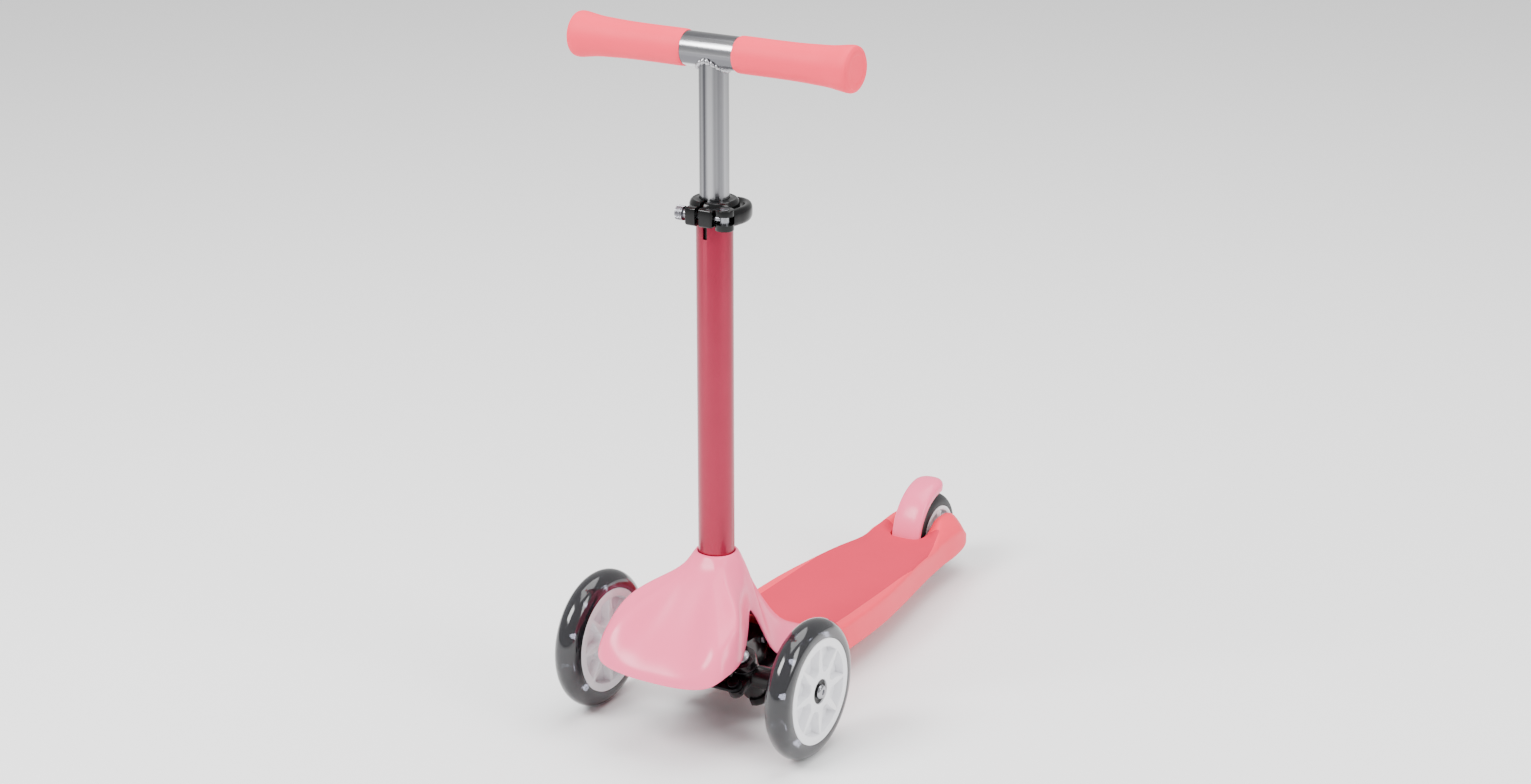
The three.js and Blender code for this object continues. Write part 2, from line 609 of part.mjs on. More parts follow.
const plug = { length: 32, bolt: 4, headRadius: 6.5, headHeight: 5 };
const plugRadius = lowerBore - seatGap;
const plugFoot = lowerTube.foot + seatGap;
piece('stem_plug', sleeveZ(plug.bolt + runGap, plugRadius, plugFoot, plugFoot + plug.length, roundFacets),
  steel, column);
const stemFloor = lowerTube.foot - seatGap;
const headTop = stemFloor - housing.floor - seatGap;
piece('stem_bolt', turnedZ([
  [0, headTop - plug.headHeight], [plug.headRadius, headTop - plug.headHeight], [plug.headRadius, headTop],
  [plug.bolt, headTop], [plug.bolt, plugFoot + plug.length], [0, plugFoot + plug.length],
], smallFacets), steel, column);

const shim = { length: 40, flange: 1.6 };
const shimBore = upperTube.radius + runGap;
const shimRadius = lowerBore - runGap;
const shimTop = lowerTube.top + seatGap;
piece('tube_sleeve', turnedZ([
  [shimBore, lowerTube.top - shim.length], [shimRadius, lowerTube.top - shim.length], [shimRadius, shimTop],
  [lowerTube.radius, shimTop], [lowerTube.radius, shimTop + shim.flange], [shimBore, shimTop + shim.flange],
]), blackPlastic, column);

// Upper tube with its welded saddle, the crossbar on it, the glide at its foot and the grips
const upperFoot = lowerTube.top - upperTube.insertion;
const upperBore = upperTube.radius - upperTube.wall;
const saddleWeld = { reach: 3.2, height: 7 };

function upperTubeGeometry() {
  const top = crossbar.height;
  const weldLow = top - crossbar.radius - saddleWeld.height / 2;
  const tube = turnedZ([
    [upperBore, upperFoot], [upperTube.radius, upperFoot], [upperTube.radius, weldLow],
    [upperTube.radius + saddleWeld.reach * 0.3, weldLow + saddleWeld.height * 0.5],
    [upperTube.radius + saddleWeld.reach, weldLow + saddleWeld.height],
    [upperTube.radius, top], [upperBore, top],
  ]);
  const saddle = pinX(crossbar.radius + seatGap, -crossbar.radius - saddleWeld.height,
    crossbar.radius + saddleWeld.height).translate(0, 0, top);
  return cut(tube, saddle);
}
piece('upper_tube', upperTubeGeometry(), polishedTube, column);
const crossbarTube = sleeveX(crossbar.radius - crossbar.wall, crossbar.radius, -crossbar.half,
  crossbar.half);
const crossbarMesh = piece('crossbar', crossbarTube, polishedTube, column);
crossbarMesh.position.z = crossbar.height;

const glide = { height: 15, plugHeight: 14 };
const glideTop = upperFoot - seatGap;
piece('tube_glide', turnedZ([
  [0, glideTop - glide.height], [shimRadius, glideTop - glide.height], [shimRadius, glideTop],
  [upperBore - runGap, glideTop], [upperBore - runGap, glideTop + glide.plugHeight],
  [0, glideTop + glide.plugHeight],
]), greyPlastic, column);

// The grips flare towards their rounded ends
const grip = { start: 25, cap: 15.2, radius: 15.6, flare: 4 };
const gripCapStart = crossbar.half + seatGap;
const gripEnd = gripCapStart + grip.cap;
const gripShares = [
  [0, -0.12], [0.03, 0], [0.3, 0], [0.52, 0.06], [0.68, 0.24], [0.79, 0.42], [0.87, 0.72], [0.93, 0.97],
  [0.962, 1], [0.985, 0.82], [1, 0.2],
];

function gripGeometry(side) {
  const bore = crossbar.radius + pressGap;
  const length = gripEnd - grip.start;
  const outline = gripShares.map(([share, flare]) => [
    grip.radius + grip.flare * flare, grip.start + length * share,
  ]);
  return turnedX([
    [0, gripCapStart], [bore, gripCapStart], [bore, grip.start], ...outline, [0, gripEnd],
  ]).scale(side, 1, 1);
}
for (const [name, side] of sides) {
  piece(`grip_${name}`, gripGeometry(side), gripRubber, column).position.z = crossbar.height;
}

// Clamp: a split collar on the lower tube, a bolt across its lugs, a thumb nut and a lever
const clamp = {
  low: 462, lip: 2.4, wall: 5.3, neckDrop: 4, neck: 2.5, lugHalf: 8, lugDeep: 7.5, boltY: -21.5, bolt: 2.9,
  boltRise: 6, lugLeft: 12.5, nutNeck: 4, neckLength: 3.5, nutLength: 10, nutRadius: 6.3, nutTeeth: 18,
  tooth: 0.5, pivotX: 23, pivot: 4,
};
const lever = {
  headRadius: 8, headHalf: 9, forkHalf: 3.6, mean: 28.2, thick: 8, deep: 14.5, tip: 0.55,
  startAngle: -22, endAngle: 104,
};
const collarTop = shimTop + shim.flange + seatGap;
const clampHigh = collarTop + clamp.lip;
const clampMiddle = clamp.low + clamp.boltRise;
const lugRight = clamp.pivotX - lever.headRadius - seatGap;
const collarBore = lowerTube.radius + runGap;

function collarGeometry() {
  const outer = collarBore + clamp.wall;
  const lipBore = upperTube.radius + seatGap;
  const ring = turnedZ([
    [collarBore, clamp.low], [outer, clamp.low], [outer, clampHigh - clamp.neckDrop],
    [outer - clamp.neck, clampHigh], [lipBore, clampHigh], [lipBore, collarTop], [collarBore, collarTop],
  ], fineFacets);
  const lugs = block(-clamp.lugLeft, lugRight, clamp.boltY - clamp.lugDeep,
    -lowerTube.radius - clamp.wall / 2, clampMiddle - clamp.lugHalf, clampMiddle + clamp.lugHalf);
  const slit = block(-lowerTube.slitHalf, lowerTube.slitHalf, clamp.boltY - 2 * clamp.lugDeep, 0,
    clamp.low - overrun, clampHigh + overrun);
  const bore = pinX(clamp.bolt + runGap, -clamp.lugLeft - overrun, lugRight + overrun, smallFacets);
  bore.translate(0, clamp.boltY, clampMiddle);
  return cut(join(ring, lugs), slit, bore);
}
piece('clamp_collar', collarGeometry(), blackPlastic, column);

const nutStart = -clamp.lugLeft - seatGap;
const clampBolt = pinX(clamp.bolt, nutStart - clamp.nutLength, clamp.pivotX - seatGap, smallFacets);
const boltMesh = piece('clamp_bolt', clampBolt, steel, column);
boltMesh.position.set(0, clamp.boltY, clampMiddle);

function thumbNutGeometry() {
  const shape = new THREE.Shape();
  for (let i = 0; i < 2 * clamp.nutTeeth; i += 1) {
    const angle = (i / clamp.nutTeeth) * Math.PI;
    const radius = clamp.nutRadius - (i % 2) * clamp.tooth;
    const step = i === 0 ? 'moveTo' : 'lineTo';
    shape[step](radius * Math.cos(angle), radius * Math.sin(angle));
  }
  const knurl = prismZ(shape, clamp.neckLength, clamp.nutLength).rotateY(-Math.PI / 2);
  const neck = pinX(clamp.nutNeck, -clamp.neckLength - seatGap, 0, smallFacets);
  const thread = pinX(clamp.bolt + runGap, -clamp.nutLength - overrun, overrun, smallFacets);
  return cut(join(knurl, neck), thread);
}
const nutMesh = piece('clamp_thumb_nut', thumbNutGeometry(), steel, column);
nutMesh.position.set(nutStart, clamp.boltY, clampMiddle);

// Lever: a forked head on an upright pivot, and an arm that curls round the collar
const pivotBore = pinX(clamp.bolt + runGap, -clamp.pivot - overrun, 0, smallFacets);
const pivotMesh = piece('clamp_pivot', cut(pinZ(clamp.pivot, -lever.headHalf, lever.headHalf, smallFacets),
  pivotBore), steel, column);
pivotMesh.position.set(clamp.pivotX, clamp.boltY, clampMiddle);

function leverGeometry() {
  const pivotAngle = Math.atan2(clamp.boltY, clamp.pivotX);
  const pivotRadius = Math.hypot(clamp.boltY, clamp.pivotX);
  const steps = 14;
  const first = THREE.MathUtils.degToRad(lever.startAngle);
  const last = THREE.MathUtils.degToRad(lever.endAngle);
  const rings = [];
  for (let i = 0; i <= steps; i += 1) {
    const share = i / steps;
    const angle = i === 0 ? (pivotAngle + first) / 2 : first + (last - first) * ((i - 1) / (steps - 1));
    const radius = i === 0 ? (pivotRadius + lever.mean) / 2 : lever.mean;
    const taper = 1 - (1 - lever.tip) * share ** 4;
    const grow = i === 0 ? 0.8 : 1;
    const ring = [];
    for (let k = 0; k < 12; k += 1) {
      const turn = (k / 12) * 2 * Math.PI;
      const reach = radius + (lever.thick / 2) * grow * taper * Math.cos(turn);
      const z = (lever.deep / 2) * taper * Math.sin(turn);
      ring.push(new THREE.Vector3(reach * Math.cos(angle), reach * Math.sin(angle), z));
    }
    rings.push(ring);
  }
  const head = pinZ(lever.headRadius, -lever.headHalf, lever.headHalf);
  head.translate(clamp.pivotX, clamp.boltY, 0);
  const fork = pinZ(lever.headRadius + seatGap, -lever.forkHalf, lever.forkHalf);
  fork.translate(clamp.pivotX, clamp.boltY, 0);
  const bore = pinZ(clamp.pivot + runGap, -lever.headHalf - overrun, lever.headHalf + overrun, smallFacets);
  bore.translate(clamp.pivotX, clamp.boltY, 0);
  return cut(join(loft(rings), head), fork, bore);
}
piece('clamp_lever', leverGeometry(), blackPlastic, column).position.z = clampMiddle;

// Truck housing: a leaning bracket for the kingpins, a block that holds the column and a tongue
// that slides under the deck
// A plate with a round ear at each end. Its front edge between the ears lies at "front".
function earPlate(front) {
  const plate = new THREE.Shape();
  plate.absarc(kingpin.offset, 0, ear.radius, -Math.PI / 2, Math.PI / 2);
  plate.lineTo(housing.waist, housing.webFront);
  plate.lineTo(housing.waist, housing.plateBack);
  plate.lineTo(-housing.waist, housing.plateBack);
  plate.lineTo(-housing.waist, housing.webFront);
  plate.absarc(-kingpin.offset, 0, ear.radius, Math.PI / 2, 1.5 * Math.PI);
  plate.lineTo(ear.radius - kingpin.offset, front);
  plate.lineTo(kingpin.offset - ear.radius, front);
  return plate;
}

function housingGeometry() {
  const lean = (geometry) => geometry.rotateX(kingpinTilt).translate(0, 0, frontWheelRadius);
  const upper = lean(prismZ(earPlate(housing.plateFront), ear.upperLow, ear.upperHigh));
  const lower = lean(prismZ(earPlate(housing.lowerFront), ear.lowerLow, ear.lowerHigh));
  const web = lean(block(-housing.waist, housing.waist, housing.webFront, housing.plateBack, ear.lowerLow,
    ear.upperHigh));
  const blockPlan = roundedBlock(housing.waist, housing.blockFace, housing.blockBack, housing.corner);
  const columnBlock = prismZ(blockPlan, housing.bottom, housing.blockTop, cornerSegments);
  const basePlan = roundedBlock(housing.halfWidth, housing.blockFront, housing.back, housing.corner);
  const base = prismZ(basePlan, housing.bottom, deck.top, cornerSegments);
  const tongue = block(-housing.tongueHalf, housing.tongueHalf, housing.back - overrun,
    deck.front + housing.tongueReach - seatGap, tongueTop - housing.tongueThickness, tongueTop);
  const boss = pinZ(housing.boss, housing.blockTop - overrun, housing.bossTop).translate(0, stemSetback, 0);
  const body = join(columnBlock, upper, lower, web, base, tongue, boss);
  const tubeBore = pinZ(lowerTube.radius + runGap, stemFloor, housing.bossTop + overrun);
  const boltBore = pinZ(plug.bolt + runGap, 0, stemFloor + overrun, smallFacets);
  const boltRecess = pinZ(plug.headRadius + seatGap, 0, headTop + seatGap, smallFacets);
  for (const tool of [tubeBore, boltBore, boltRecess]) tool.translate(0, stemSetback, 0);
  const belly = block(-housing.waist - overrun, housing.waist + overrun, -housing.bellyDepth,
    housing.bellyLength, -housing.bellyDepth, 0);
  belly.rotateX(-bellyTilt).translate(0, housing.blockFace, housing.bellyFront);
  const tools = [tubeBore, boltBore, boltRecess, belly];
  for (const [, side] of sides) {
    const low = ear.lowerLow - overrun;
    const high = ear.upperHigh + overrun;
    tools.push(lean(pinZ(kingpin.radius + runGap, low, high).translate(side * kingpin.offset, 0, 0)));
    const clear = pinZ(knuckle.barrel + seatGap, ear.lowerHigh, ear.upperLow);
    tools.push(lean(clear.translate(side * kingpin.offset, 0, 0)));
    const boltHole = pinZ(deckBolt.radius + runGap, 0, deck.top, smallFacets);
    tools.push(boltHole.translate(side * deckBolt.spacing, deck.front + deckBolt.setback, 0));
    const screwHole = pinX(screw.radius + runGap, housing.waist - screw.length, housing.waist + overrun,
      smallFacets);
    tools.push(screwHole.scale(side, 1, 1).translate(0, screw.y, screw.z));
  }
  return cut(body, ...tools);
}
piece('truck_housing', housingGeometry(), blackPlastic);

for (const [name, side] of sides) {
  const headLow = housing.waist + seatGap;
  const screwEnd = housing.waist - screw.length + seatGap;
  const screwMesh = piece(`housing_screw_${name}`, turnedX([
    [0, screwEnd], [screw.radius, screwEnd], [screw.radius, headLow], [screw.headRadius, headLow],
    [screw.headRadius * 0.7, headLow + screw.headHeight], [0, headLow + screw.headHeight],
  ], smallFacets).scale(side, 1, 1), steel);
  screwMesh.position.set(0, screw.y, screw.z);
  const boltHead = tongueTop - housing.tongueThickness - seatGap;
  const boltMeshBelow = piece(`deck_bolt_${name}`, turnedZ([
    [0, boltHead - deckBolt.headHeight], [deckBolt.headRadius, boltHead - deckBolt.headHeight],
    [deckBolt.headRadius, boltHead], [deckBolt.radius, boltHead],
    [deckBolt.radius, deck.top - deck.wall + deckBolt.bite], [0, deck.top - deck.wall + deckBolt.bite],
  ], smallFacets), steel);
  boltMeshBelow.position.set(side * deckBolt.spacing, deck.front + deckBolt.setback, 0);
}

// Front cowl: one shell from the collar round the column to a wide nose in front and two feet
// on the deck. Each station gives where its rib ends on the lower rim and how the rib runs there.
const cowl = {
  collarTop: 161, collar: 18.6, wall: 2.6, noseReach: 108.5, noseHalf: 66, lip: 74.5, cheek: 88,
  archHalf: 34.5, archTop: 112.5, footHalf: 46, footReach: 113, foot: deck.top + seatGap,
};
// Each rib runs from the collar to the rim, as shares of its way out and of its way down
const keelShares = [
  [0, 0], [0.03, 0.04], [0.07, 0.11], [0.19, 0.205], [0.415, 0.42], [0.66, 0.64], [0.85, 0.775],
  [0.97, 0.89], [1, 1],
];
const noseShares = [
  [0, 0], [0.038, 0.05], [0.093, 0.13], [0.192, 0.215], [0.403, 0.348], [0.624, 0.478], [0.812, 0.61],
  [0.934, 0.765], [1, 1],
];
const shoulderShares = [
  [0, 0], [0.05, 0.05], [0.125, 0.132], [0.29, 0.226], [0.525, 0.308], [0.733, 0.388], [0.896, 0.494],
  [0.978, 0.665], [1, 1],
];
const flankShares = [
  [0, 0], [0.09, 0.063], [0.206, 0.162], [0.375, 0.246], [0.61, 0.331], [0.79, 0.43], [0.91, 0.577],
  [0.974, 0.789], [1, 1],
];
const waistShares = [
  [0, 0], [0.14, 0.08], [0.305, 0.183], [0.47, 0.27], [0.66, 0.38], [0.8, 0.49], [0.914, 0.635],
  [0.98, 0.81], [1, 1],
];
const archShares = [
  [0, 0], [0.13, 0.055], [0.28, 0.14], [0.43, 0.24], [0.59, 0.375], [0.735, 0.52], [0.865, 0.68],
  [0.96, 0.84], [1, 1],
];
const legShares = [
  [0, 0], [0.064, 0.036], [0.144, 0.108], [0.238, 0.208], [0.358, 0.343], [0.492, 0.488], [0.652, 0.641],
  [0.826, 0.822], [1, 1],
];
const heelShares = [
  [0, 0], [0.04, 0.04], [0.1, 0.126], [0.19, 0.253], [0.3, 0.388], [0.43, 0.542], [0.58, 0.714],
  [0.77, 0.876], [1, 1],
];
const tailShares = [
  [0, 0], [0.031, 0.054], [0.08, 0.131], [0.145, 0.239], [0.232, 0.388], [0.329, 0.528], [0.448, 0.677],
  [0.621, 0.849], [1, 1],
];

const noseX = (share) => share * cowl.noseHalf;
const noseY = (share) => -share * cowl.noseReach;
const heelX = (share) => share * cowl.footHalf;
const heelY = (share) => share * cowl.footReach;
const rimZ = (share) => THREE.MathUtils.lerp(cowl.lip, cowl.cheek, share);
const archZ = (share) => THREE.MathUtils.lerp(cowl.foot, cowl.archTop, share);
// Where each rib ends on the rim, from the nose round to the back: x, y and z from the column
const cowlStations = [
  [0, noseY(1), cowl.lip, keelShares],
  [noseX(0.49), noseY(0.998), rimZ(0.1), keelShares],
  [noseX(0.86), noseY(0.965), rimZ(0.45), noseShares],
  [noseX(1), noseY(0.82), rimZ(1), noseShares],
  [noseX(0.96), noseY(0.58), rimZ(1), shoulderShares],
  [noseX(0.76), noseY(0.3), rimZ(1.13), flankShares],
  [noseX(0.6), noseY(0.1), rimZ(1.65), waistShares],
  [cowl.archHalf, 0, cowl.archTop, archShares],
  [heelX(0.82), heelY(0.15), archZ(0.51), archShares],
  [heelX(0.91), heelY(0.33), cowl.foot, legShares],
  [heelX(1), heelY(0.59), cowl.foot, heelShares],
  [heelX(0.96), heelY(0.9), cowl.foot, tailShares],
  [heelX(0.56), heelY(1), cowl.foot, tailShares],
  [0, heelY(0.96), cowl.foot, tailShares],
];

function cowlGeometry() {
  const half = cowlStations.length;
  const around = 2 * (half - 1);
  const samples = 2 * around;
  const levels = keelShares.length;
  const rim = levels - 1;
  const station = (k, level) => {
    const [x, y, z, shares] = cowlStations[k < half ? k : around - k];
    const [out, down] = shares[level];
    const reach = Math.hypot(x, y);
    const scale = THREE.MathUtils.lerp(cowl.collar, reach, out) / reach;
    const side = k < half ? 1 : -1;
    return new THREE.Vector3(side * x * scale, y * scale, THREE.MathUtils.lerp(cowl.collarTop, z, down));
  };
  const outside = [];
  for (let level = 0; level < levels; level += 1) {
    const points = [];
    for (let k = 0; k < around; k += 1) points.push(station(k, level));
    const curve = new THREE.CatmullRomCurve3(points, true);
    const ring = [];
    for (let i = 0; i < samples; i += 1) {
      const point = curve.getPoint(i / samples);
      point.z = Math.max(point.z, cowl.foot);
      ring.push(point);
    }
    outside.push(ring);
  }
  const inside = outside.map((ring, level) => ring.map((point, i) => {
    const next = ring[(i + 1) % samples];
    const last = ring[(i + samples - 1) % samples];
    const below = outside[Math.min(level + 1, rim)][i];
    const above = outside[Math.max(level - 1, 0)][i];
    const normal = next.clone().sub(last).cross(above.clone().sub(below));
    if (level === rim) normal.z = 0;
    normal.normalize();
    return point.clone().addScaledVector(normal, -cowl.wall);
  }));
  const bore = lowerTube.radius + seatGap;
  for (const level of [0, 1]) {
    inside[level].forEach((point, i) => {
      const outer = outside[level][i];
      const reach = Math.hypot(outer.x, outer.y);
      point.set((outer.x / reach) * bore, (outer.y / reach) * bore, outer.z);
    });
  }
  return loft([...outside, ...inside.reverse()], true);
}
piece('front_cowl', cowlGeometry(), palePlastic, column);

// Rear wheel
const rearWheel = new THREE.Group();
rearWheel.position.set(0, wheelbase, rearWheelRadius);
scooter.add(rearWheel);
piece('rear_hub', hubGeometry(rearHub), whitePlastic, rearWheel);
const rearCrown = (rearWheelRadius - rearHub.flange) * 0.9;
piece('rear_tyre', tyreGeometry(rearWheelRadius, rearHub, rearCrown, 0, 0), blackTyre, rearWheel);
bearingPair('rear', rearWheel);
const rearInner = bearingInside - seatGap;
piece('rear_bearing_spacer', sleeveX(axleRadius + runGap, spacerRadius, -rearInner, rearInner, smallFacets),
  steel, rearWheel);
for (const [name, side] of sides) {
  piece(`rear_axle_spacer_${name}`, sleeveX(axleRadius + runGap, spacerRadius, bearingOutside + seatGap,
    wheelSlot.half - seatGap, smallFacets).scale(side, 1, 1), steel, rearWheel);
}
const axleHeadEnd = rearAxle.seat + rearAxle.headHeight;
piece('rear_axle', turnedX([
  [0, -axleHeadEnd], [rearAxle.headRadius, -axleHeadEnd], [rearAxle.headRadius, -rearAxle.seat],
  [axleRadius, -rearAxle.seat], [axleRadius, rearAxle.end], [0, rearAxle.end],
], smallFacets), steel, rearWheel);

// Brake fender: a thick crowned arch over the rear wheel, on a hinge pin in front of it
// The arch's outer face is a circle that is set back and up from the axle
function archReach(angle) {
  const outward = brake.archRise * Math.sin(angle) - brake.archBack * Math.cos(angle);
  const sideways = brake.archRise * Math.cos(angle) + brake.archBack * Math.sin(angle);
  return outward + Math.sqrt(brake.arch ** 2 - sideways ** 2);
}

// The last share of the arch rounds off into its tip
const roundShare = 0.86;
const pastRound = (share) => Math.max(0, (share - roundShare) / (1 - roundShare));
const leastTip = 0.12; // what is left at the very tip, as a share of the arch's own width
const tipSize = (share) => THREE.MathUtils.lerp(leastTip, 1, Math.cos((pastRound(share) * Math.PI) / 2));

function tipShare(share) {
  if (share < roundShare) return share;
  return roundShare + (1 - roundShare) * Math.sin((pastRound(share) * Math.PI) / 2);
}

function fenderGeometry() {
  const steps = 18;
  const first = THREE.MathUtils.degToRad(brake.startAngle);
  const last = THREE.MathUtils.degToRad(brake.tipAngle);
  const rings = [];
  for (let i = 0; i <= steps; i += 1) {
    const share = i / steps;
    const angle = first + (last - first) * tipShare(share);
    const shrink = tipSize(share);
    const middle = (brake.inner + archReach(angle)) / 2;
    const tall = ((archReach(angle) - brake.inner) / 2) * Math.sqrt(shrink);
    const half = brake.half * shrink;
    const ring = [];
    for (let k = 0; k < 14; k += 1) {
      const turn = (k / 14) * 2 * Math.PI;
      const x = half * Math.sign(Math.cos(turn)) * Math.abs(Math.cos(turn)) ** 0.7;
      const lift = Math.sin(turn);
      const reach = middle + tall * Math.sign(lift) * Math.abs(lift) ** (lift > 0 ? 0.9 : 0.35);
      ring.push(new THREE.Vector3(x, -reach * Math.cos(angle), reach * Math.sin(angle)));
    }
    rings.push(ring);
  }
  const boss = pinX(brake.boss, -brake.bossHalf, brake.bossHalf);
  boss.translate(0, -brake.hingeBack, -brake.hingeDrop);
  const bore = pinX(brake.pin + runGap, -brake.half - overrun, brake.half + overrun, smallFacets);
  bore.translate(0, -brake.hingeBack, -brake.hingeDrop);
  const springRoom = pinX(brake.boss + seatGap, brake.bossHalf, brake.half + overrun);
  springRoom.translate(0, -brake.hingeBack, -brake.hingeDrop);
  const otherRoom = springRoom.clone().scale(-1, 1, 1);
  return cut(join(loft(rings), boss), bore, springRoom, otherRoom);
}
piece('brake_fender', fenderGeometry(), palePlastic, rearWheel);
const hingeShaft = pinX(brake.pin, -brake.pinHalf, brake.pinHalf, smallFacets);
const hingePin = piece('brake_hinge_pin', hingeShaft, steel);
hingePin.position.set(0, hingeY, hingeZ);

// Return spring of the brake, wound round the hinge pin beside the boss
const spring = { wire: 0.7, turns: 2.5, stepsPerTurn: 8, sides: 5 };

// The least distance between points on stretches of wire that lie half a turn or more apart
function leastSelfGap(rings) {
  let least = Infinity;
  for (let i = 0; i < rings.length; i += 1) {
    for (let j = i + spring.stepsPerTurn / 2; j < rings.length; j += 1) {
      for (const point of rings[i]) {
        for (const other of rings[j]) least = Math.min(least, point.distanceTo(other));
      }
    }
  }
  return least;
}

function springGeometry() {
  const mean = brake.pin + spring.wire + 2 * seatGap;
  const low = brake.bossHalf + spring.wire + seatGap;
  const high = wheelSlot.half - spring.wire - seatGap;
  const count = spring.turns * spring.stepsPerTurn;
  const rings = [];
  for (let i = 0; i <= count; i += 1) {
    const angle = (i / spring.stepsPerTurn) * 2 * Math.PI;
    const x = THREE.MathUtils.lerp(low, high, i / count);
    const ring = [];
    for (let k = 0; k < spring.sides; k += 1) {
      const turn = (k / spring.sides) * 2 * Math.PI;
      const reach = mean + spring.wire * Math.cos(turn);
      const place = x + spring.wire * Math.sin(turn);
      ring.push(new THREE.Vector3(place, reach * Math.cos(angle), reach * Math.sin(angle)));
    }
    rings.push(ring);
  }
  console.log(`brake_spring: least gap to itself ${leastSelfGap(rings).toFixed(2)} mm`);
  return loft(rings);
}
piece('brake_spring', springGeometry(), steel).position.set(0, hingeY, hingeZ);

// The nose reaches furthest forward and the rear tyre furthest back
const frontEnd = stemSetback - cowl.noseReach;
const rearEnd = wheelbase + rearWheelRadius;
scooter.position.y = -(frontEnd + rearEnd) / 2;

export default scooter;
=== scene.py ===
# %% [markdown]
# # A three wheel kids scooter
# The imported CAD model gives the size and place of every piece. This script dresses it: smooth
# moulded shells, turned wheels and tubes, and a finish for every surface. Lengths are in
# millimetres and are turned into metres where a mesh is made.

# %% Load the CAD model
from math import asin, atan2, copysign, cos, degrees, hypot, pi, radians, sin, sqrt, tan

import bmesh
import bpy
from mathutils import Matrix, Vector


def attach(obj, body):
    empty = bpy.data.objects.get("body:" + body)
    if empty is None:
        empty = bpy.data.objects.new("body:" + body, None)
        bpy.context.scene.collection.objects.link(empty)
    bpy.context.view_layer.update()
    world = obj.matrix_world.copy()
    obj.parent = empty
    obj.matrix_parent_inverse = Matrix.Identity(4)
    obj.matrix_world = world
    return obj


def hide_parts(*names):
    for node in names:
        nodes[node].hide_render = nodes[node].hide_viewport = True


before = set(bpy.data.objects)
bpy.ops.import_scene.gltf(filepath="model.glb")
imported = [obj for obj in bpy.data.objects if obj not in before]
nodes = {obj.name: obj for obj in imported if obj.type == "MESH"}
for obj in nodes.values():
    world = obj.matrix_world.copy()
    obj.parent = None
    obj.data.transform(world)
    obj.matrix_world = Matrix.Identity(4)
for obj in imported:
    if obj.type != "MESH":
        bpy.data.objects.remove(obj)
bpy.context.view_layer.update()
MM = 0.001
AXLE_Y = -190.75  # the front axle line, from which the part is laid out
COLUMN_Y = AXLE_Y + 25
REAR_Y = AXLE_Y + 425
FRONT_Z = 62.5
REAR_Z = 40
TRACK = 107.5
print("CAD nodes:", len(nodes))

# %% [markdown]
# ## Camera
# The photo was taken from the front left, a little above. The numbers come from fitting the
# wheels, the tubes and the deck's outline to the photo.

# %% Place the camera
camera_data = bpy.data.cameras.new("photo_camera")
camera_data.sensor_width = 36
camera_data.lens = 70.54
camera = bpy.data.objects.new("photo_camera", camera_data)
camera.location = (1.2786, -2.23375, 1.1493)
camera.rotation_euler = (radians(90 - 19.13), 0, radians(30.72))
bpy.context.scene.collection.objects.link(camera)
bpy.context.scene.camera = camera
print("Camera at", tuple(camera.location))

# %% [markdown]
# ## Helpers for modelling
# An operator acts on all that is selected, so each helper starts with nothing selected. The
# turned pieces are one closed outline spun round an axis, as on a lathe.


# %% Start and finish a piece
def leave_edit():
    bpy.ops.object.mode_set(mode="OBJECT")


def start_fresh():
    if bpy.context.object and bpy.context.object.mode != "OBJECT":
        leave_edit()
    bpy.ops.object.select_all(action="DESELECT")


def pick(piece):
    start_fresh()
    piece.select_set(True)
    bpy.context.view_layer.objects.active = piece


def added(name, add_primitive, **settings):
    """Adds a primitive mesh with nothing else selected, and names it."""
    start_fresh()
    add_primitive(**settings)
    piece = bpy.context.object
    piece.name = name
    return piece


def edit_all(piece):
    """Opens the piece's mesh with all of it selected."""
    pick(piece)
    bpy.ops.object.mode_set(mode="EDIT")
    bpy.ops.mesh.select_all(action="SELECT")


def clean_mesh(piece, merge=0.01):
    """Merges points that lie this close, in millimetres, and turns the faces outward."""
    edit_all(piece)
    bpy.ops.mesh.remove_doubles(threshold=merge * MM)
    bpy.ops.mesh.normals_make_consistent(inside=False)
    leave_edit()


def close_ends(piece):
    edit_all(piece)
    bpy.ops.mesh.select_all(action="DESELECT")
    bpy.ops.mesh.select_mode(type="EDGE")
    bpy.ops.mesh.select_non_manifold()
    bpy.ops.mesh.fill_holes(sides=0)
    bpy.ops.mesh.select_mode(type="VERT")
    bpy.ops.mesh.select_all(action="SELECT")
    bpy.ops.mesh.normals_make_consistent(inside=False)
    leave_edit()


def smooth(piece, angle=40):
    pick(piece)
    bpy.ops.object.shade_smooth_by_angle(angle=radians(angle))
    return piece


def apply_modifier(piece, kind, **settings):
    pick(piece)
    modifier = piece.modifiers.new(kind.lower(), kind)
    for name, value in settings.items():
        setattr(modifier, name, value)
    bpy.ops.object.modifier_apply(modifier=modifier.name)
    return piece


def settle(piece):
    """Moves the piece's place into its mesh, so that its object sits at the origin."""
    pick(piece)
    bpy.ops.object.transform_apply(location=True, rotation=True, scale=True)
    return piece


def moved(piece, x=0, y=0, z=0, turn_z=0):
    piece.rotation_euler = (0, 0, radians(turn_z))
    piece.location = (x * MM, y * MM, z * MM)
    return settle(piece)


def copied(piece, name):
    twin = piece.copy()
    twin.data = piece.data.copy()
    twin.name = name
    bpy.context.scene.collection.objects.link(twin)
    return twin


def merged(name, pieces):
    start_fresh()
    for piece in pieces:
        piece.select_set(True)
    bpy.context.view_layer.objects.active = pieces[0]
    bpy.ops.object.join()
    pieces[0].name = name
    return pieces[0]


print("Helpers for starting and finishing a piece are ready")

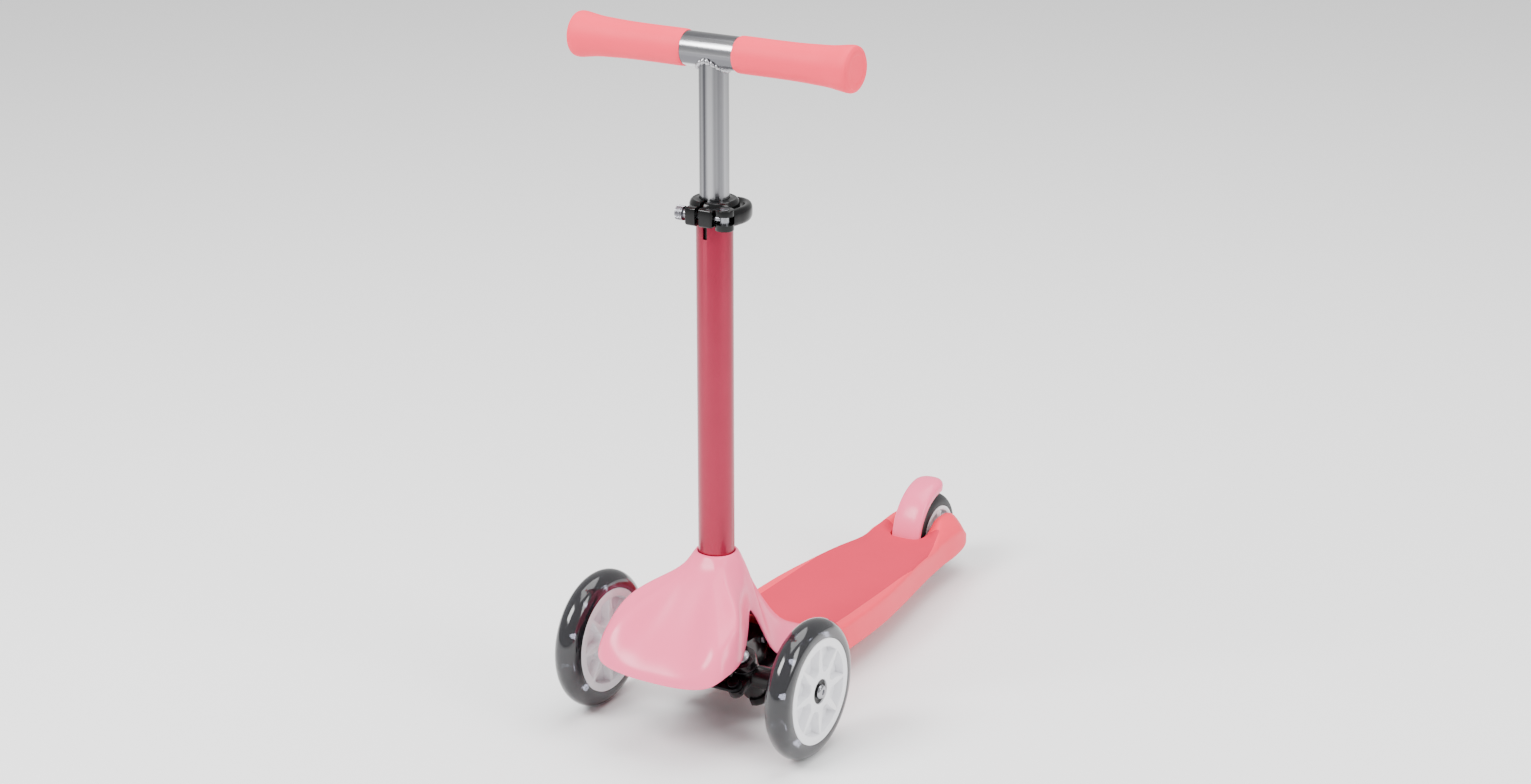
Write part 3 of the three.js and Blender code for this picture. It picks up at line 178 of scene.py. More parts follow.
# %% Turn, loft and cut
def rounded(outline, radius, points=3):
    """Rounds each sharp corner of a closed outline of (distance from the axis, place)."""
    result = []
    count = len(outline)
    for i, corner in enumerate(outline):
        here = Vector(corner)
        before = Vector(outline[i - 1]) - here
        after = Vector(outline[(i + 1) % count]) - here
        bend = pi - before.angle(after)
        if bend < radians(25) or corner[0] < 0.01:
            result.append(tuple(here))
            continue
        reach = min(radius, before.length / 2.2, after.length / 2.2)
        start = here + before.normalized() * reach
        end = here + after.normalized() * reach
        for k in range(points + 1):
            t = k / points
            point = start * (1 - t) ** 2 + here * 2 * t * (1 - t) + end * t * t
            result.append(tuple(point))
    return result


def turned(name, outline, axis="x", steps=96, soften=0.3):
    """Spins an outline round an axis through the origin."""
    outline = rounded(outline, soften) if soften else outline
    piece = added(name, bpy.ops.mesh.primitive_circle_add, vertices=len(outline), radius=MM)
    for vertex, (radius, place) in zip(piece.data.vertices, outline):
        along, away = place * MM, radius * MM
        vertex.co = (along, away, 0) if axis == "x" else (away, 0, along)
    turn = (1, 0, 0) if axis == "x" else (0, 0, 1)
    edit_all(piece)
    bpy.ops.mesh.spin(steps=steps, angle=2 * pi, center=(0, 0, 0), axis=turn)
    leave_edit()
    clean_mesh(piece)
    return smooth(piece)


def tube(name, inner, outer, start, end, axis="x", soften=0.3):
    outline = [(inner, start), (outer, start), (outer, end), (inner, end)]
    return turned(name, outline, axis, soften=soften)


def rod(name, radius, start, end, axis="x", steps=48, soften=0.3):
    """A solid rod. With no softening it also serves as a cutter."""
    outline = [(0, start), (radius, start), (radius, end), (0, end)]
    return turned(name, outline, axis, steps, soften)


def sheet(name, rows):
    """A grid whose points are moved to the given rows of points, in millimetres."""
    piece = added(
        name, bpy.ops.mesh.primitive_grid_add, x_subdivisions=len(rows[0]) - 1,
        y_subdivisions=len(rows) - 1,
    )
    points = [point for row in rows for point in row]
    for vertex, point in zip(piece.data.vertices, points):
        vertex.co = Vector(point) * MM
    return piece


def lofted(name, rings):
    """A grid wrapped into a tube through the rings, with its two ends closed."""
    piece = sheet(name, [list(ring) + [ring[0]] for ring in rings])
    clean_mesh(piece, 0.005)
    close_ends(piece)
    return piece


def prism(name, outline, low, high, taper=1.0):
    """A flat outline of (x, y) points pulled up from z low to z high."""
    piece = added(
        name, bpy.ops.mesh.primitive_circle_add, vertices=len(outline), radius=MM,
        fill_type="NGON",
    )
    for vertex, (x, y) in zip(piece.data.vertices, outline):
        vertex.co = Vector((x, y, low)) * MM
    edit_all(piece)
    lift = {"value": (0, 0, (high - low) * MM)}
    bpy.ops.mesh.extrude_region_move(TRANSFORM_OT_translate=lift)
    bpy.ops.transform.resize(value=(taper, taper, 1))
    leave_edit()
    clean_mesh(piece)
    return piece


def slab(name, low, high):
    """A box between two corners."""
    outline = [(low[0], low[1]), (high[0], low[1]), (high[0], high[1]), (low[0], high[1])]
    return prism(name, outline, low[2], high[2])


def carve(piece, cutters):
    """Cuts the joined cutters out of the piece."""
    tool = merged("tool", cutters) if len(cutters) > 1 else cutters[0]
    apply_modifier(
        piece, "BOOLEAN", operation="DIFFERENCE", solver="EXACT", use_self=True, object=tool,
    )
    bpy.data.objects.remove(tool)


def fuse(piece, other):
    """Joins the other piece on, and drops it."""
    apply_modifier(piece, "BOOLEAN", operation="UNION", solver="EXACT", object=other)
    bpy.data.objects.remove(other)


def bevel(piece, width, angle=30, segments=2):
    """Rounds the edges that bend by more than this many degrees."""
    return apply_modifier(
        piece, "BEVEL", width=width * MM, segments=segments, limit_method="ANGLE",
        angle_limit=radians(angle), use_clamp_overlap=True,
    )


def arc(radius, start, end, steps, x=0):
    """Points on an arc round (x, 0), from one angle to another in degrees."""
    points = []
    for i in range(steps + 1):
        angle = radians(start + (end - start) * i / steps)
        points.append((x + radius * cos(angle), radius * sin(angle)))
    return points


def oblong(steps, wide, tall, powers):
    """Points of a rounded oblong. Low powers, across, above and below, make it squarer."""
    across, above, below = powers
    points = []
    for i in range(steps):
        turn = 2 * pi * i / steps
        c, s = cos(turn), sin(turn)
        x = wide * copysign(abs(c) ** across, c)
        points.append((x, tall * copysign(abs(s) ** (above if s > 0 else below), s)))
    return points


def own_copy(node):
    """A copy of a CAD node with its points merged and nothing else carried over."""
    piece = copied(nodes[node], node + "_moulded")
    piece.parent = None
    for key in list(piece.keys()):
        del piece[key]
    piece.data.materials.clear()
    clean_mesh(piece)
    return piece


def softened(node, width):
    """A copy of a CAD node with its flats joined up and its edges rounded."""
    piece = own_copy(node)
    edit_all(piece)
    bpy.ops.mesh.dissolve_limited(angle_limit=radians(1))
    leave_edit()
    bevel(piece, width, 32)
    return smooth(piece, 38)


print("Modelling helpers are ready")

# %% [markdown]
# ## Helpers for finishes
# A finish is written as arithmetic on sockets. The small class below wraps a socket, and each
# operator adds the Math node that it stands for.


# %% Wire up shader nodes
class Wire:
    def __init__(self, paint, socket):
        self.paint = paint
        self.socket = socket

    def maths(self, operation, first, second):
        settings = {"operation": operation}
        return self.paint.node("Math", settings, {0: first, 1: second})

    def __add__(self, other):
        return self.maths("ADD", self, other)

    def __radd__(self, other):
        return self.maths("ADD", other, self)

    def __sub__(self, other):
        return self.maths("SUBTRACT", self, other)

    def __rmul__(self, other):
        return self.maths("MULTIPLY", other, self)


class Paint:
    """One material: it makes nodes, and feeds the shader what the finish is."""

    def __init__(self, name, **constants):
        self.material = bpy.data.materials.new(name)
        self.material.use_nodes = True
        self.tree = self.material.node_tree
        self.shader = self.tree.nodes["Principled BSDF"]
        self.place = self.node("TexCoord", output="Object")
        for label, value in constants.items():
            self.feed(self.shader.inputs[label.replace("_", " ")], value)

    def node(self, kind, settings=None, inputs=None, output=0):
        made = self.tree.nodes.new("ShaderNode" + kind)
        for name, value in (settings or {}).items():
            setattr(made, name, value)
        for label, value in (inputs or {}).items():
            self.feed(made.inputs[label], value)
        return Wire(self, made.outputs[output])

    def feed(self, socket, value):
        if isinstance(value, Wire):
            self.tree.links.new(value.socket, socket)
        else:
            socket.default_value = value

    def put(self, label, value):
        self.feed(self.shader.inputs[label], value)

    def stretched(self, x=1.0, y=1.0, z=1.0):
        return self.node("Mapping", None, {"Vector": self.place, "Scale": (x, y, z)})

    def noise(self, size, detail=2.0, roughness=0.5, place=None):
        """Cloudy noise from 0 to 1 whose patches are about this many millimetres wide."""
        settings = {"Vector": place or self.place, "Scale": 1 / (size * MM)}
        settings.update({"Detail": detail, "Roughness": roughness})
        return self.node("TexNoise", None, settings)

    def cells(self, size):
        settings = {"Vector": self.place, "Scale": 1 / (size * MM)}
        return self.node("TexVoronoi", None, settings)

    def mix(self, amount, first, second):
        inputs = {"Factor": amount, 6: first, 7: second}
        return self.node("Mix", {"data_type": "RGBA"}, inputs, output=2)

    def bump(self, height, depth):
        inputs = {"Height": height, "Distance": depth * MM, "Strength": 1}
        self.put("Normal", self.node("Bump", None, inputs))


def paint_piece(piece, paint, body, slot, *replaced):
    """Dresses a piece, makes it ride on its body and hides the CAD nodes that it stands for."""
    piece.data.materials.clear()
    piece.data.materials.append(paint.material)
    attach(piece, body)
    if replaced:
        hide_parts(*replaced)


def colour(red, green, blue):
    """A linear colour from the 0 to 255 values that a screen shows."""
    linear = []
    for value in (red, green, blue):
        share = value / 255
        linear.append(share / 12.92 if share < 0.04 else ((share + 0.055) / 1.055) ** 2.4)
    return (*linear, 1.0)


print("Paint helpers are ready")

# %% [markdown]
# ## Finishes
# The shells are moulded plastic: an even colour with a faint cloudiness, a soft gloss and the
# orange peel that a mould leaves. The deck's top panel is matt with a fine grain for grip. The
# column is metallic paint under lacquer, and the bar above it polished aluminium, with painted
# reflections: long light and dark bands in its colour.


# %% Mix the plastics
def moulded(name, tint, shade, roughness, peel=0.02, shine=0.4):
    paint = Paint(name, IOR=1.46, Specular_IOR_Level=shine)
    tone_mix = paint.noise(34, 3)
    paint.put("Base Color", paint.mix(tone_mix, tint, shade))
    paint.put("Roughness", roughness + 0.08 * (tone_mix - 0.5))
    paint.bump(paint.noise(2.4, 2), peel)
    return paint


pale_plastic = moulded("pale_pink_plastic", (1, 0.15, 0.3, 1), (0.98, 0.14, 0.28, 1), 0.24, 0.015)
coral_plastic = moulded(
    "coral_plastic", (0.96, 0.04, 0.092, 1), (0.92, 0.036, 0.084, 1), 0.42, shine=0.22,
)
black_plastic = moulded("black_plastic", colour(14, 9, 10), colour(8, 5, 6), 0.22, 0.02, 0.28)
clamp_plastic = moulded("clamp_plastic", colour(12, 12, 13), colour(8, 8, 9), 0.18, 0.015, 0.3)
hub_plastic = moulded("white_hub_plastic", colour(236, 236, 239), colour(229, 229, 233), 0.3)
grey_plastic = moulded("grey_plastic", colour(140, 140, 144), colour(120, 120, 124), 0.5)
bush_rubber = moulded("bush_rubber", colour(34, 34, 36), colour(26, 26, 28), 0.7)

panel_plastic = Paint("deck_panel_plastic", IOR=1.46, Specular_IOR_Level=0.2)
panel_cloud = panel_plastic.noise(40, 3)
panel_grain = panel_plastic.noise(1.1, 3, 0.6)
panel_tint = panel_plastic.mix(panel_cloud, (0.66, 0.02, 0.068, 1), (0.62, 0.018, 0.062, 1))
panel_speck = (0.58, 0.025, 0.05, 1)
panel_plastic.put("Base Color", panel_plastic.mix(0.25 * panel_grain, panel_tint, panel_speck))
panel_plastic.put("Roughness", 0.62 + 0.12 * panel_grain)
panel_plastic.bump(panel_grain, 0.12)

grip_rubber = Paint("coral_grip_rubber", IOR=1.42, Specular_IOR_Level=0.25)
grip_cloud = grip_rubber.noise(22, 3)
grip_tint = grip_rubber.mix(grip_cloud, (1, 0.042, 0.096, 1), (0.96, 0.038, 0.088, 1))
grip_rubber.put("Base Color", grip_tint)
grip_rubber.put("Roughness", 0.5 + 0.1 * grip_cloud)
grip_rubber.bump(grip_rubber.noise(0.7, 2), 0.03)

rear_rubber = Paint("rear_tyre_rubber")
rear_cloud = rear_rubber.noise(14, 4)
rear_rubber.put("Base Color", rear_rubber.mix(rear_cloud, colour(30, 30, 32), colour(44, 44, 46)))
rear_rubber.put("Roughness", 0.42 + 0.18 * rear_cloud)
rear_rubber.bump(rear_rubber.noise(0.9, 2), 0.03)
print("Plastics and rubbers are mixed")


# %% Mix the metals
def metal(name, tint, shade, roughness, grain, reflection_streaks=0.0):
    """Metal with a fine grain, given as how long its marks are along x, y and z. With streaks, its
    colour also gets painted reflections: light and dark bands that run along the grain.
    """
    paint = Paint(name, Metallic=1.0)
    marks = paint.noise(0.5, 2, 0.5, paint.stretched(*grain))
    tone_mix = paint.noise(18, 3)
    # Painted reflection: the colour swings between tint and shade in long bands that stand in for
    # the light and dark studio reflections on polished metal.
    if reflection_streaks:
        reflection_bands = paint.noise(reflection_streaks, 1, 0.5, paint.stretched(*(share * share for share in grain)))
        tone_mix = 4 * (reflection_bands - 0.38)
    paint.put("Base Color", paint.mix(tone_mix, tint, shade))
    paint.put("Roughness", roughness + 0.1 * marks + 0.05 * tone_mix)
    paint.bump(marks, 0.004)
    return paint


# The upper tube and the crossbar get painted reflections: long bands of their darker colour, about
# 7 mm wide, that run along each tube.
ALONG_X, ALONG_Z, EVEN = (0.02, 1, 1), (1, 1, 0.02), (1, 1, 1)
REFLECTION_STREAK = 7.0
tube_aluminium = metal(
    "polished_tube", colour(156, 156, 159), colour(66, 66, 70), 0.14, ALONG_Z, REFLECTION_STREAK,
)
bar_aluminium = metal(
    "polished_crossbar", colour(200, 200, 203), colour(104, 104, 108), 0.13, ALONG_X, REFLECTION_STREAK,
)
weld_aluminium = metal("weld_bead", colour(190, 190, 193), colour(140, 140, 144), 0.24, EVEN)
steel = metal("zinc_steel", colour(160, 160, 165), colour(128, 128, 134), 0.22, EVEN)
black_steel = metal("black_steel", colour(30, 30, 32), colour(22, 22, 24), 0.35, EVEN)

painted_tube = Paint("metallic_raspberry", Coat_Weight=0.35, Coat_Roughness=0.1)
flakes = painted_tube.cells(0.35)
tube_cloud = painted_tube.noise(30, 2)
flake_tint = painted_tube.mix(flakes, (0.27, 0.003, 0.028, 1), (0.38, 0.009, 0.05, 1))
tube_shade = (0.21, 0.002, 0.02, 1)
painted_tube.put("Base Color", painted_tube.mix(0.4 * tube_cloud, flake_tint, tube_shade))
painted_tube.put("Metallic", 0.55 + 0.2 * flakes)
painted_tube.put("Roughness", 0.3 + 0.12 * flakes)
painted_tube.bump(painted_tube.noise(1.5, 2), 0.01)
print("Metals and paint are mixed")

# %% [markdown]
# The front tyres are smoky see-through rubber with lamps inside, so their shader lets light
# through. The lamp domes glow.

# %% Mix the smoky tyre and the lamps
smoky_tyre = Paint(
    "smoky_tyre", Transmission_Weight=0.36, IOR=1.45, Coat_Weight=0.4, Coat_Roughness=0.04,
)
smoke = smoky_tyre.noise(12, 3)
smoky_tyre.put("Base Color", smoky_tyre.mix(smoke, colour(46, 46, 50), colour(30, 30, 34)))
smoky_tyre.put("Roughness", 0.1 + 0.06 * smoke)
smoky_tyre.bump(smoky_tyre.noise(1.5, 2), 0.01)

lamp_band = moulded("lamp_band", colour(96, 98, 106), colour(76, 78, 86), 0.25)
bearing_seal = moulded("bearing_seal", colour(18, 18, 19), colour(12, 12, 13), 0.35)
bolt_steel = metal("polished_bolt", colour(176, 176, 180), colour(140, 140, 145), 0.12, EVEN)
lamp_glow = Paint("lamp_glow", Emission_Strength=260.0)
glow_cloud = lamp_glow.noise(2, 2)
dome_tint = lamp_glow.mix(glow_cloud, colour(250, 250, 255), colour(240, 244, 255))
lamp_glow.put("Base Color", dome_tint)
glow_tint = lamp_glow.mix(glow_cloud, colour(255, 255, 255), colour(236, 242, 255))
lamp_glow.put("Emission Color", glow_tint)
print("Tyre and lamps are mixed")

# %% [markdown]
# ## Wheels
# A wheel is a white hub with scooped pockets, a tyre in the hub's channel, and a bearing on
# each side. Hub, tyre and bearings are turned on a lathe, and one pocket cutter is copied round
# the hub. Each wheel is built at the origin, and then copies of it are placed.

# %% Sizes that all wheels share
HALF_WIDTH = 12
HUB_HALF = 12.15
LIP = 2.2  # how thick a hub's rim is on each side of the tyre's channel
GAP = 0.3
CROWN_STEPS = 24
HUB = {"bore": 8.2, "seat": 11.1, "web": 4.2, "spoke": 1.6}
BEARING = {"bore": 4, "radius": 11, "near": 3.65, "far": 10.65, "shield": 0.6}


def hub(name, flange, barrel, boss, reach, pockets, steps):
    channel = HUB_HALF - LIP
    near, seat, spoke = BEARING["near"], HUB["seat"], HUB["spoke"]
    half = [
        (HUB["bore"], near), (seat, near), (seat, HUB_HALF), (flange, HUB_HALF),
        (flange, channel), (barrel, channel),
    ]
    outline = half + [(radius, -place) for radius, place in reversed(half)]
    disc = turned(name, outline, steps=steps, soften=0)
    half_angle = 180 / pockets
    inner = boss * tan(radians(half_angle)) - spoke
    outer_angle = half_angle - degrees(asin(spoke / reach))
    scoop = arc(inner, 90, 270, 12, x=boss + inner) + arc(reach, -outer_angle, outer_angle, 10)
    cutters = []
    for side in (1, -1):
        for i in range(pockets):
            cutter = prism(f"scoop_{i}", scoop, HUB["web"], HUB_HALF + 3, 1.06)
            cutter.rotation_euler = (0, 0, radians(2 * half_angle * (i + 0.5)))
            settle(cutter)
            cutter.rotation_euler = (0, radians(90 * side), 0)
            cutters.append(settle(cutter))
    carve(disc, cutters)
    clean_mesh(disc)
    bevel(disc, 0.6, 40)
    return smooth(disc, 45)


def tyre(name, radius, crown, flange, barrel, channel=None, steps=128):
    points = []
    for i in range(CROWN_STEPS + 1):
        angle = radians(180 * i / CROWN_STEPS - 90)
        points.append((radius - crown * (1 - cos(angle)), HALF_WIDTH * sin(angle)))
    seat, shoulder, inner = barrel + GAP, flange + GAP, HUB_HALF - LIP - GAP
    half = [(shoulder, HALF_WIDTH), (shoulder, inner), (seat, inner)]
    if channel:
        half += [(seat, channel[0]), (channel[1], channel[0])]
    outline = points + half + [(r, -place) for r, place in reversed(half)]
    return turned(name, outline, steps=steps, soften=0.5)


def bearing(name, side):
    """A shielded ball bearing on the outer or inner face of a hub."""
    bore, radius, near, far = (BEARING[key] for key in ("bore", "radius", "near", "far"))
    inner, outer, sunk = 6.2, 8.8, far - BEARING["shield"]
    outline = [
        (bore, near), (radius, near), (radius, far), (outer, far), (outer, sunk), (inner, sunk),
        (inner, far), (bore, far),
    ]
    outline = [(away, place * side) for away, place in outline]
    return turned(name, outline, steps=48, soften=0.2)


def place_wheel(pieces, stem, body, x, turn):
    for source, name, paint, slot, replaced in pieces:
        piece = moved(copied(source, stem + name), x, AXLE_Y, FRONT_Z, turn_z=turn)
        paint_piece(piece, paint, body, slot, stem + replaced)


print("A wheel is", 2 * HALF_WIDTH, "mm wide")

# %% Turn the front wheel's pieces
FLANGE, BARREL = 47.2, 44
front_hub = hub("front_hub_master", FLANGE, BARREL, boss=18, reach=39.5, pockets=8, steps=128)
front_tyre = tyre("front_tyre_master", FRONT_Z, 12, FLANGE, BARREL, channel=(4.9, 51.4))
BAND_HALF = 4.6
lamp_ring = tube("lamp_ring_master", 44.3, 45.9, -BAND_HALF, BAND_HALF)
LAMPS = {"count": 10, "first": 94, "reach": 47.7, "radius": 2.6}
lamp_domes = []
for number in range(LAMPS["count"]):
    angle = radians(LAMPS["first"] + 360 / LAMPS["count"] * number)
    dome = added(
        "dome", bpy.ops.mesh.primitive_uv_sphere_add, segments=20, ring_count=12,
        radius=LAMPS["radius"] * MM,
    )
    reach = LAMPS["reach"] * MM
    dome.location = (0, reach * cos(angle), reach * sin(angle))
    lamp_domes.append(smooth(settle(dome)))
lamp_dome_ring = merged("lamp_domes_master", lamp_domes)
outer_bearing = bearing("bearing_outer_master", 1)
inner_bearing = bearing("bearing_inner_master", -1)
axle_outline = [
    (0, -34), (3.9, -34), (3.9, 10.95), (6.3, 10.95), (6.3, 12.6), (5.6, 13.9), (4.2, 14.7),
    (2.4, 14.95), (2.1, 13.1), (0, 13.1),
]
axle = turned("axle_master", axle_outline, steps=48, soften=0.25)

wheel_set = [
    (front_hub, "hub_moulded", hub_plastic, "hub_plastic", "hub"),
    (front_tyre, "tyre_cast", smoky_tyre, "front_tyre", "tyre"),
    (lamp_ring, "lamp_band", lamp_band, "lamp_plastic", "lamp_ring"),
    (lamp_dome_ring, "lamp_domes", lamp_glow, "lamp_plastic", "lamp_ring"),
    (outer_bearing, "bearing_out", bearing_seal, "steel", "bearing_outer"),
    (inner_bearing, "bearing_in", bearing_seal, "steel", "bearing_inner"),
]
axle_set = [(axle, "axle_turned", bolt_steel, "steel", "axle")]
for side, x, turn in (("left", TRACK, 0), ("right", -TRACK, 180)):
    place_wheel(wheel_set, f"front_{side}_", f"wheel_{side}", x, turn)
    place_wheel(axle_set, f"front_{side}_", f"knuckle_{side}", x, turn)
print("Front wheels: hub faces", len(front_hub.data.polygons))

# %% Turn the rear wheel
REAR_FLANGE, REAR_BARREL = 28.5, 25.5
rear_hub = hub(
    "rear_hub_moulded", REAR_FLANGE, REAR_BARREL, boss=15, reach=24.5, pockets=6, steps=96,
)
rear_tyre = tyre("rear_tyre_cast", REAR_Z, 10.35, REAR_FLANGE, REAR_BARREL, steps=112)
rear_set = [
    (rear_hub, hub_plastic, "hub_plastic", "rear_hub"),
    (rear_tyre, rear_rubber, "rear_tyre", "rear_tyre"),
    (copied(outer_bearing, "rear_bearing_out"), bearing_seal, "steel", "rear_bearing_outer"),
    (copied(inner_bearing, "rear_bearing_in"), bearing_seal, "steel", "rear_bearing_inner"),
]
for piece, paint, slot, replaced in rear_set:
    paint_piece(moved(piece, 0, REAR_Y, REAR_Z), paint, "wheel_rear", slot, replaced)
for row in wheel_set + axle_set:
    bpy.data.objects.remove(row[0])
print("Rear wheel: hub faces", len(rear_hub.data.polygons))

# %% [markdown]
# ## Column and handlebar
# Two tubes slide in each other, and the crossbar is welded on top of the upper one. The grips
# are soft sleeves that flare towards their ends.

# %% Turn the tubes
LOWER_FOOT, LOWER_TOP = 50, 475
SPLIT_HALF, SPLIT_FOOT = 2, 445.7
lower_tube = tube("lower_tube_drawn", 14.3, 15.9, LOWER_FOOT, LOWER_TOP, "z", 0.4)
carve(lower_tube, [slab("slit", (-SPLIT_HALF, -20, SPLIT_FOOT), (SPLIT_HALF, 0, 480))])
smooth(moved(lower_tube, 0, COLUMN_Y))
paint_piece(lower_tube, painted_tube, "frame", "painted_tube", "lower_tube")

BAR_Z = 604
BAR_RADIUS = 14.5
BAR_HALF = 120
UPPER_RADIUS = 12.7
UPPER_FOOT = 289
upper_tube = tube("upper_tube_drawn", 11.2, UPPER_RADIUS, UPPER_FOOT, BAR_Z, "z")
saddle_cutter = rod("saddle", BAR_RADIUS + 0.1, -30, 30, steps=64, soften=0)
carve(upper_tube, [moved(saddle_cutter, 0, 0, BAR_Z)])
smooth(moved(upper_tube, 0, COLUMN_Y))
paint_piece(upper_tube, tube_aluminium, "handlebar", "polished_aluminium", "upper_tube")

crossbar = moved(tube("crossbar_drawn", 12.7, BAR_RADIUS, -BAR_HALF, BAR_HALF), 0, COLUMN_Y, BAR_Z)
paint_piece(crossbar, bar_aluminium, "handlebar", "polished_aluminium", "crossbar")
print("Tubes are turned")


# %% [markdown]
# The weld is a bead of overlapping puddles that follows the seam where the round tube meets the
# round bar. A torus is bent to that seam and swells once for every puddle.

# %% Lay the weld bead
PUDDLE = {"base": 0.62, "swell": 0.62, "shape": 0.7, "drift": 0.14}


def weld_bead(name, tube_radius, bar_radius, puddles, thickness):
    bead = added(
        name, bpy.ops.mesh.primitive_torus_add, major_segments=puddles * 6, minor_segments=14,
        major_radius=tube_radius * MM, minor_radius=thickness * MM,
    )
    for vertex in bead.data.vertices:
        angle = atan2(vertex.co.y, vertex.co.x)
        centre = Vector((cos(angle), sin(angle), 0)) * tube_radius * MM
        wave = abs(sin(angle * puddles / 2)) ** PUDDLE["shape"]
        swell = PUDDLE["base"] + PUDDLE["swell"] * wave + PUDDLE["drift"] * sin(3 * angle)
        place = centre + (vertex.co - centre) * swell
        seam = bar_radius**2 - (tube_radius * sin(angle)) ** 2
        place.z += (BAR_Z - sqrt(max(seam, 0))) * MM
        vertex.co = place
    smooth(bead, 60)
    return moved(bead, 0, COLUMN_Y)


weld = weld_bead("weld_bead", UPPER_RADIUS + 0.5, BAR_RADIUS, 20, 2.3)
paint_piece(weld, weld_aluminium, "handlebar", "polished_aluminium")
print("Weld bead faces:", len(weld.data.polygons))

# %% Mould the grips
GRIP_START, GRIP_END, GRIP_RADIUS, GRIP_FLARE = 25, 135.5, 15.6, 4
GRIP_SHARES = [
    (0, -0.12), (0.03, 0), (0.3, 0), (0.52, 0.06), (0.68, 0.24), (0.79, 0.42), (0.87, 0.72),
    (0.93, 0.97), (0.962, 1), (0.985, 0.82), (1, 0.2),
]


def along(table, share):
    """A smooth value between the stations of a table."""
    i = 0
    while i < len(table) - 2 and table[i + 1][0] < share:
        i += 1
    before, here, after = table[max(i - 1, 0)], table[i], table[i + 1]
    later = table[min(i + 2, len(table) - 1)]
    span = after[0] - here[0]
    u = min(max((share - here[0]) / span, 0), 1)
    slope_here = (after[1] - before[1]) / (after[0] - before[0]) * span
    slope_after = (later[1] - here[1]) / (later[0] - here[0]) * span
    value = (2 * u**3 - 3 * u**2 + 1) * here[1] + (u**3 - 2 * u**2 + u) * slope_here
    return value + (3 * u**2 - 2 * u**3) * after[1] + (u**3 - u**2) * slope_after


def grip(name, side, replaced):
    length = GRIP_END - GRIP_START
    bore, end = BAR_RADIUS + 0.1, BAR_HALF + GAP
    outline = [(0, end), (bore, end), (bore, GRIP_START)]
    for i in range(1, 61):
        share = i / 60
        flare = GRIP_FLARE * along(GRIP_SHARES, share)
        outline.append((GRIP_RADIUS + flare, GRIP_START + length * share))
    outline += [(12.5, GRIP_END), (11.5, GRIP_END - 0.5), (0, GRIP_END - 0.5)]
    piece = turned(name, [(radius, place * side) for radius, place in outline], soften=0.4)
    moved(piece, 0, COLUMN_Y, BAR_Z)
    paint_piece(smooth(piece, 60), grip_rubber, "handlebar", "grip_rubber", replaced)


grip("grip_left_sleeve", 1, "grip_left")
grip("grip_right_sleeve", -1, "grip_right")
print("Grips are moulded")

# %% [markdown]
# ## Bar clamp
# A split black collar grips the column. Its bolt runs through two lugs to an upright pivot, and
# the lever curls round the collar when it is shut. A knurled nut sets how tight it grips.

# %% Make the collar
CLAMP_Z = 468
PIVOT = (23, -21.5)
collar_outline = [
    (16.05, 462), (21.35, 462), (21.35, 474.6), (20.2, 477.4), (18.6, 478.9), (16.2, 478.5),
    (14.4, 478.9), (13, 479.3), (13, 477.3), (16.05, 477.3),
]
collar = turned("clamp_collar_moulded", collar_outline, "z", soften=0.5)
lugs = slab("lugs", (-12.5, -29, 460), (14.7, -18.5, 476))
fuse(collar, bevel(lugs, 2.4, segments=4))
clean_mesh(collar)
BOLT_BORE = 3.05
bolt_hole = rod("hole", BOLT_BORE, -30, 30, steps=32, soften=0)
carve(collar, [moved(bolt_hole, 0, PIVOT[1], CLAMP_Z)])
carve(collar, [slab("split", (-SPLIT_HALF, -36, 455), (SPLIT_HALF, 0, 485))])
clean_mesh(collar)
smooth(moved(collar, 0, COLUMN_Y), 35)
paint_piece(collar, clamp_plastic, "frame", "clamp_plastic", "clamp_collar")
print("Collar faces:", len(collar.data.polygons))

# %% Make the bolt, the pivot and the knurled nut
clamp_bolt = rod("clamp_bolt_turned", 2.9, -22.8, 22.7)
moved(clamp_bolt, 0, COLUMN_Y + PIVOT[1], CLAMP_Z)
paint_piece(clamp_bolt, steel, "frame", "steel", "clamp_bolt")

PIVOT_RADIUS, PIVOT_HALF = 4, 9
pivot = rod("clamp_pivot_turned", PIVOT_RADIUS, -PIVOT_HALF, PIVOT_HALF, "z")
pivot_slot = slab("pivot_slot", (-5, -0.5, 8.2), (5, 0.5, 12))
carve(pivot, [pivot_slot])
smooth(moved(pivot, PIVOT[0], COLUMN_Y + PIVOT[1], CLAMP_Z))
paint_piece(pivot, steel, "frame", "steel", "clamp_pivot")

knurl_points = []
TEETH, NUT_RADIUS, TOOTH_DEPTH = 36, 6.3, 0.35
for i in range(4 * TEETH):
    angle = pi * i / (2 * TEETH)
    radius = NUT_RADIUS - (TOOTH_DEPTH if i % 4 > 1 else 0)
    knurl_points.append((radius * cos(angle), radius * sin(angle)))
knurl = prism("clamp_thumb_nut_knurled", knurl_points, 3.5, 10)
knurl.rotation_euler = (0, radians(-90), 0)
settle(knurl)
fuse(knurl, rod("neck", 4, -3.7, 0))
nut_bore = rod("nut_bore", BOLT_BORE, -12, 2, soften=0)
grooves = []
for place in (-4.6, -6.3, -8):
    groove = [(5.7, place - 0.2), (7, place - 0.4), (7, place + 0.4), (5.7, place + 0.2)]
    grooves.append(turned("groove", groove, steps=48, soften=0))
carve(knurl, [nut_bore] + grooves)
clean_mesh(knurl)
smooth(moved(knurl, -12.8, COLUMN_Y + PIVOT[1], CLAMP_Z), 30)
paint_piece(knurl, steel, "thumb_nut", "steel", "clamp_thumb_nut")
print("Knurled nut faces:", len(knurl.data.polygons))

# %% [markdown]
# The lever is a band that starts at a forked head on the pivot and curls round the collar with
# a rounded section. It is a grid wrapped into a tube along that curl.

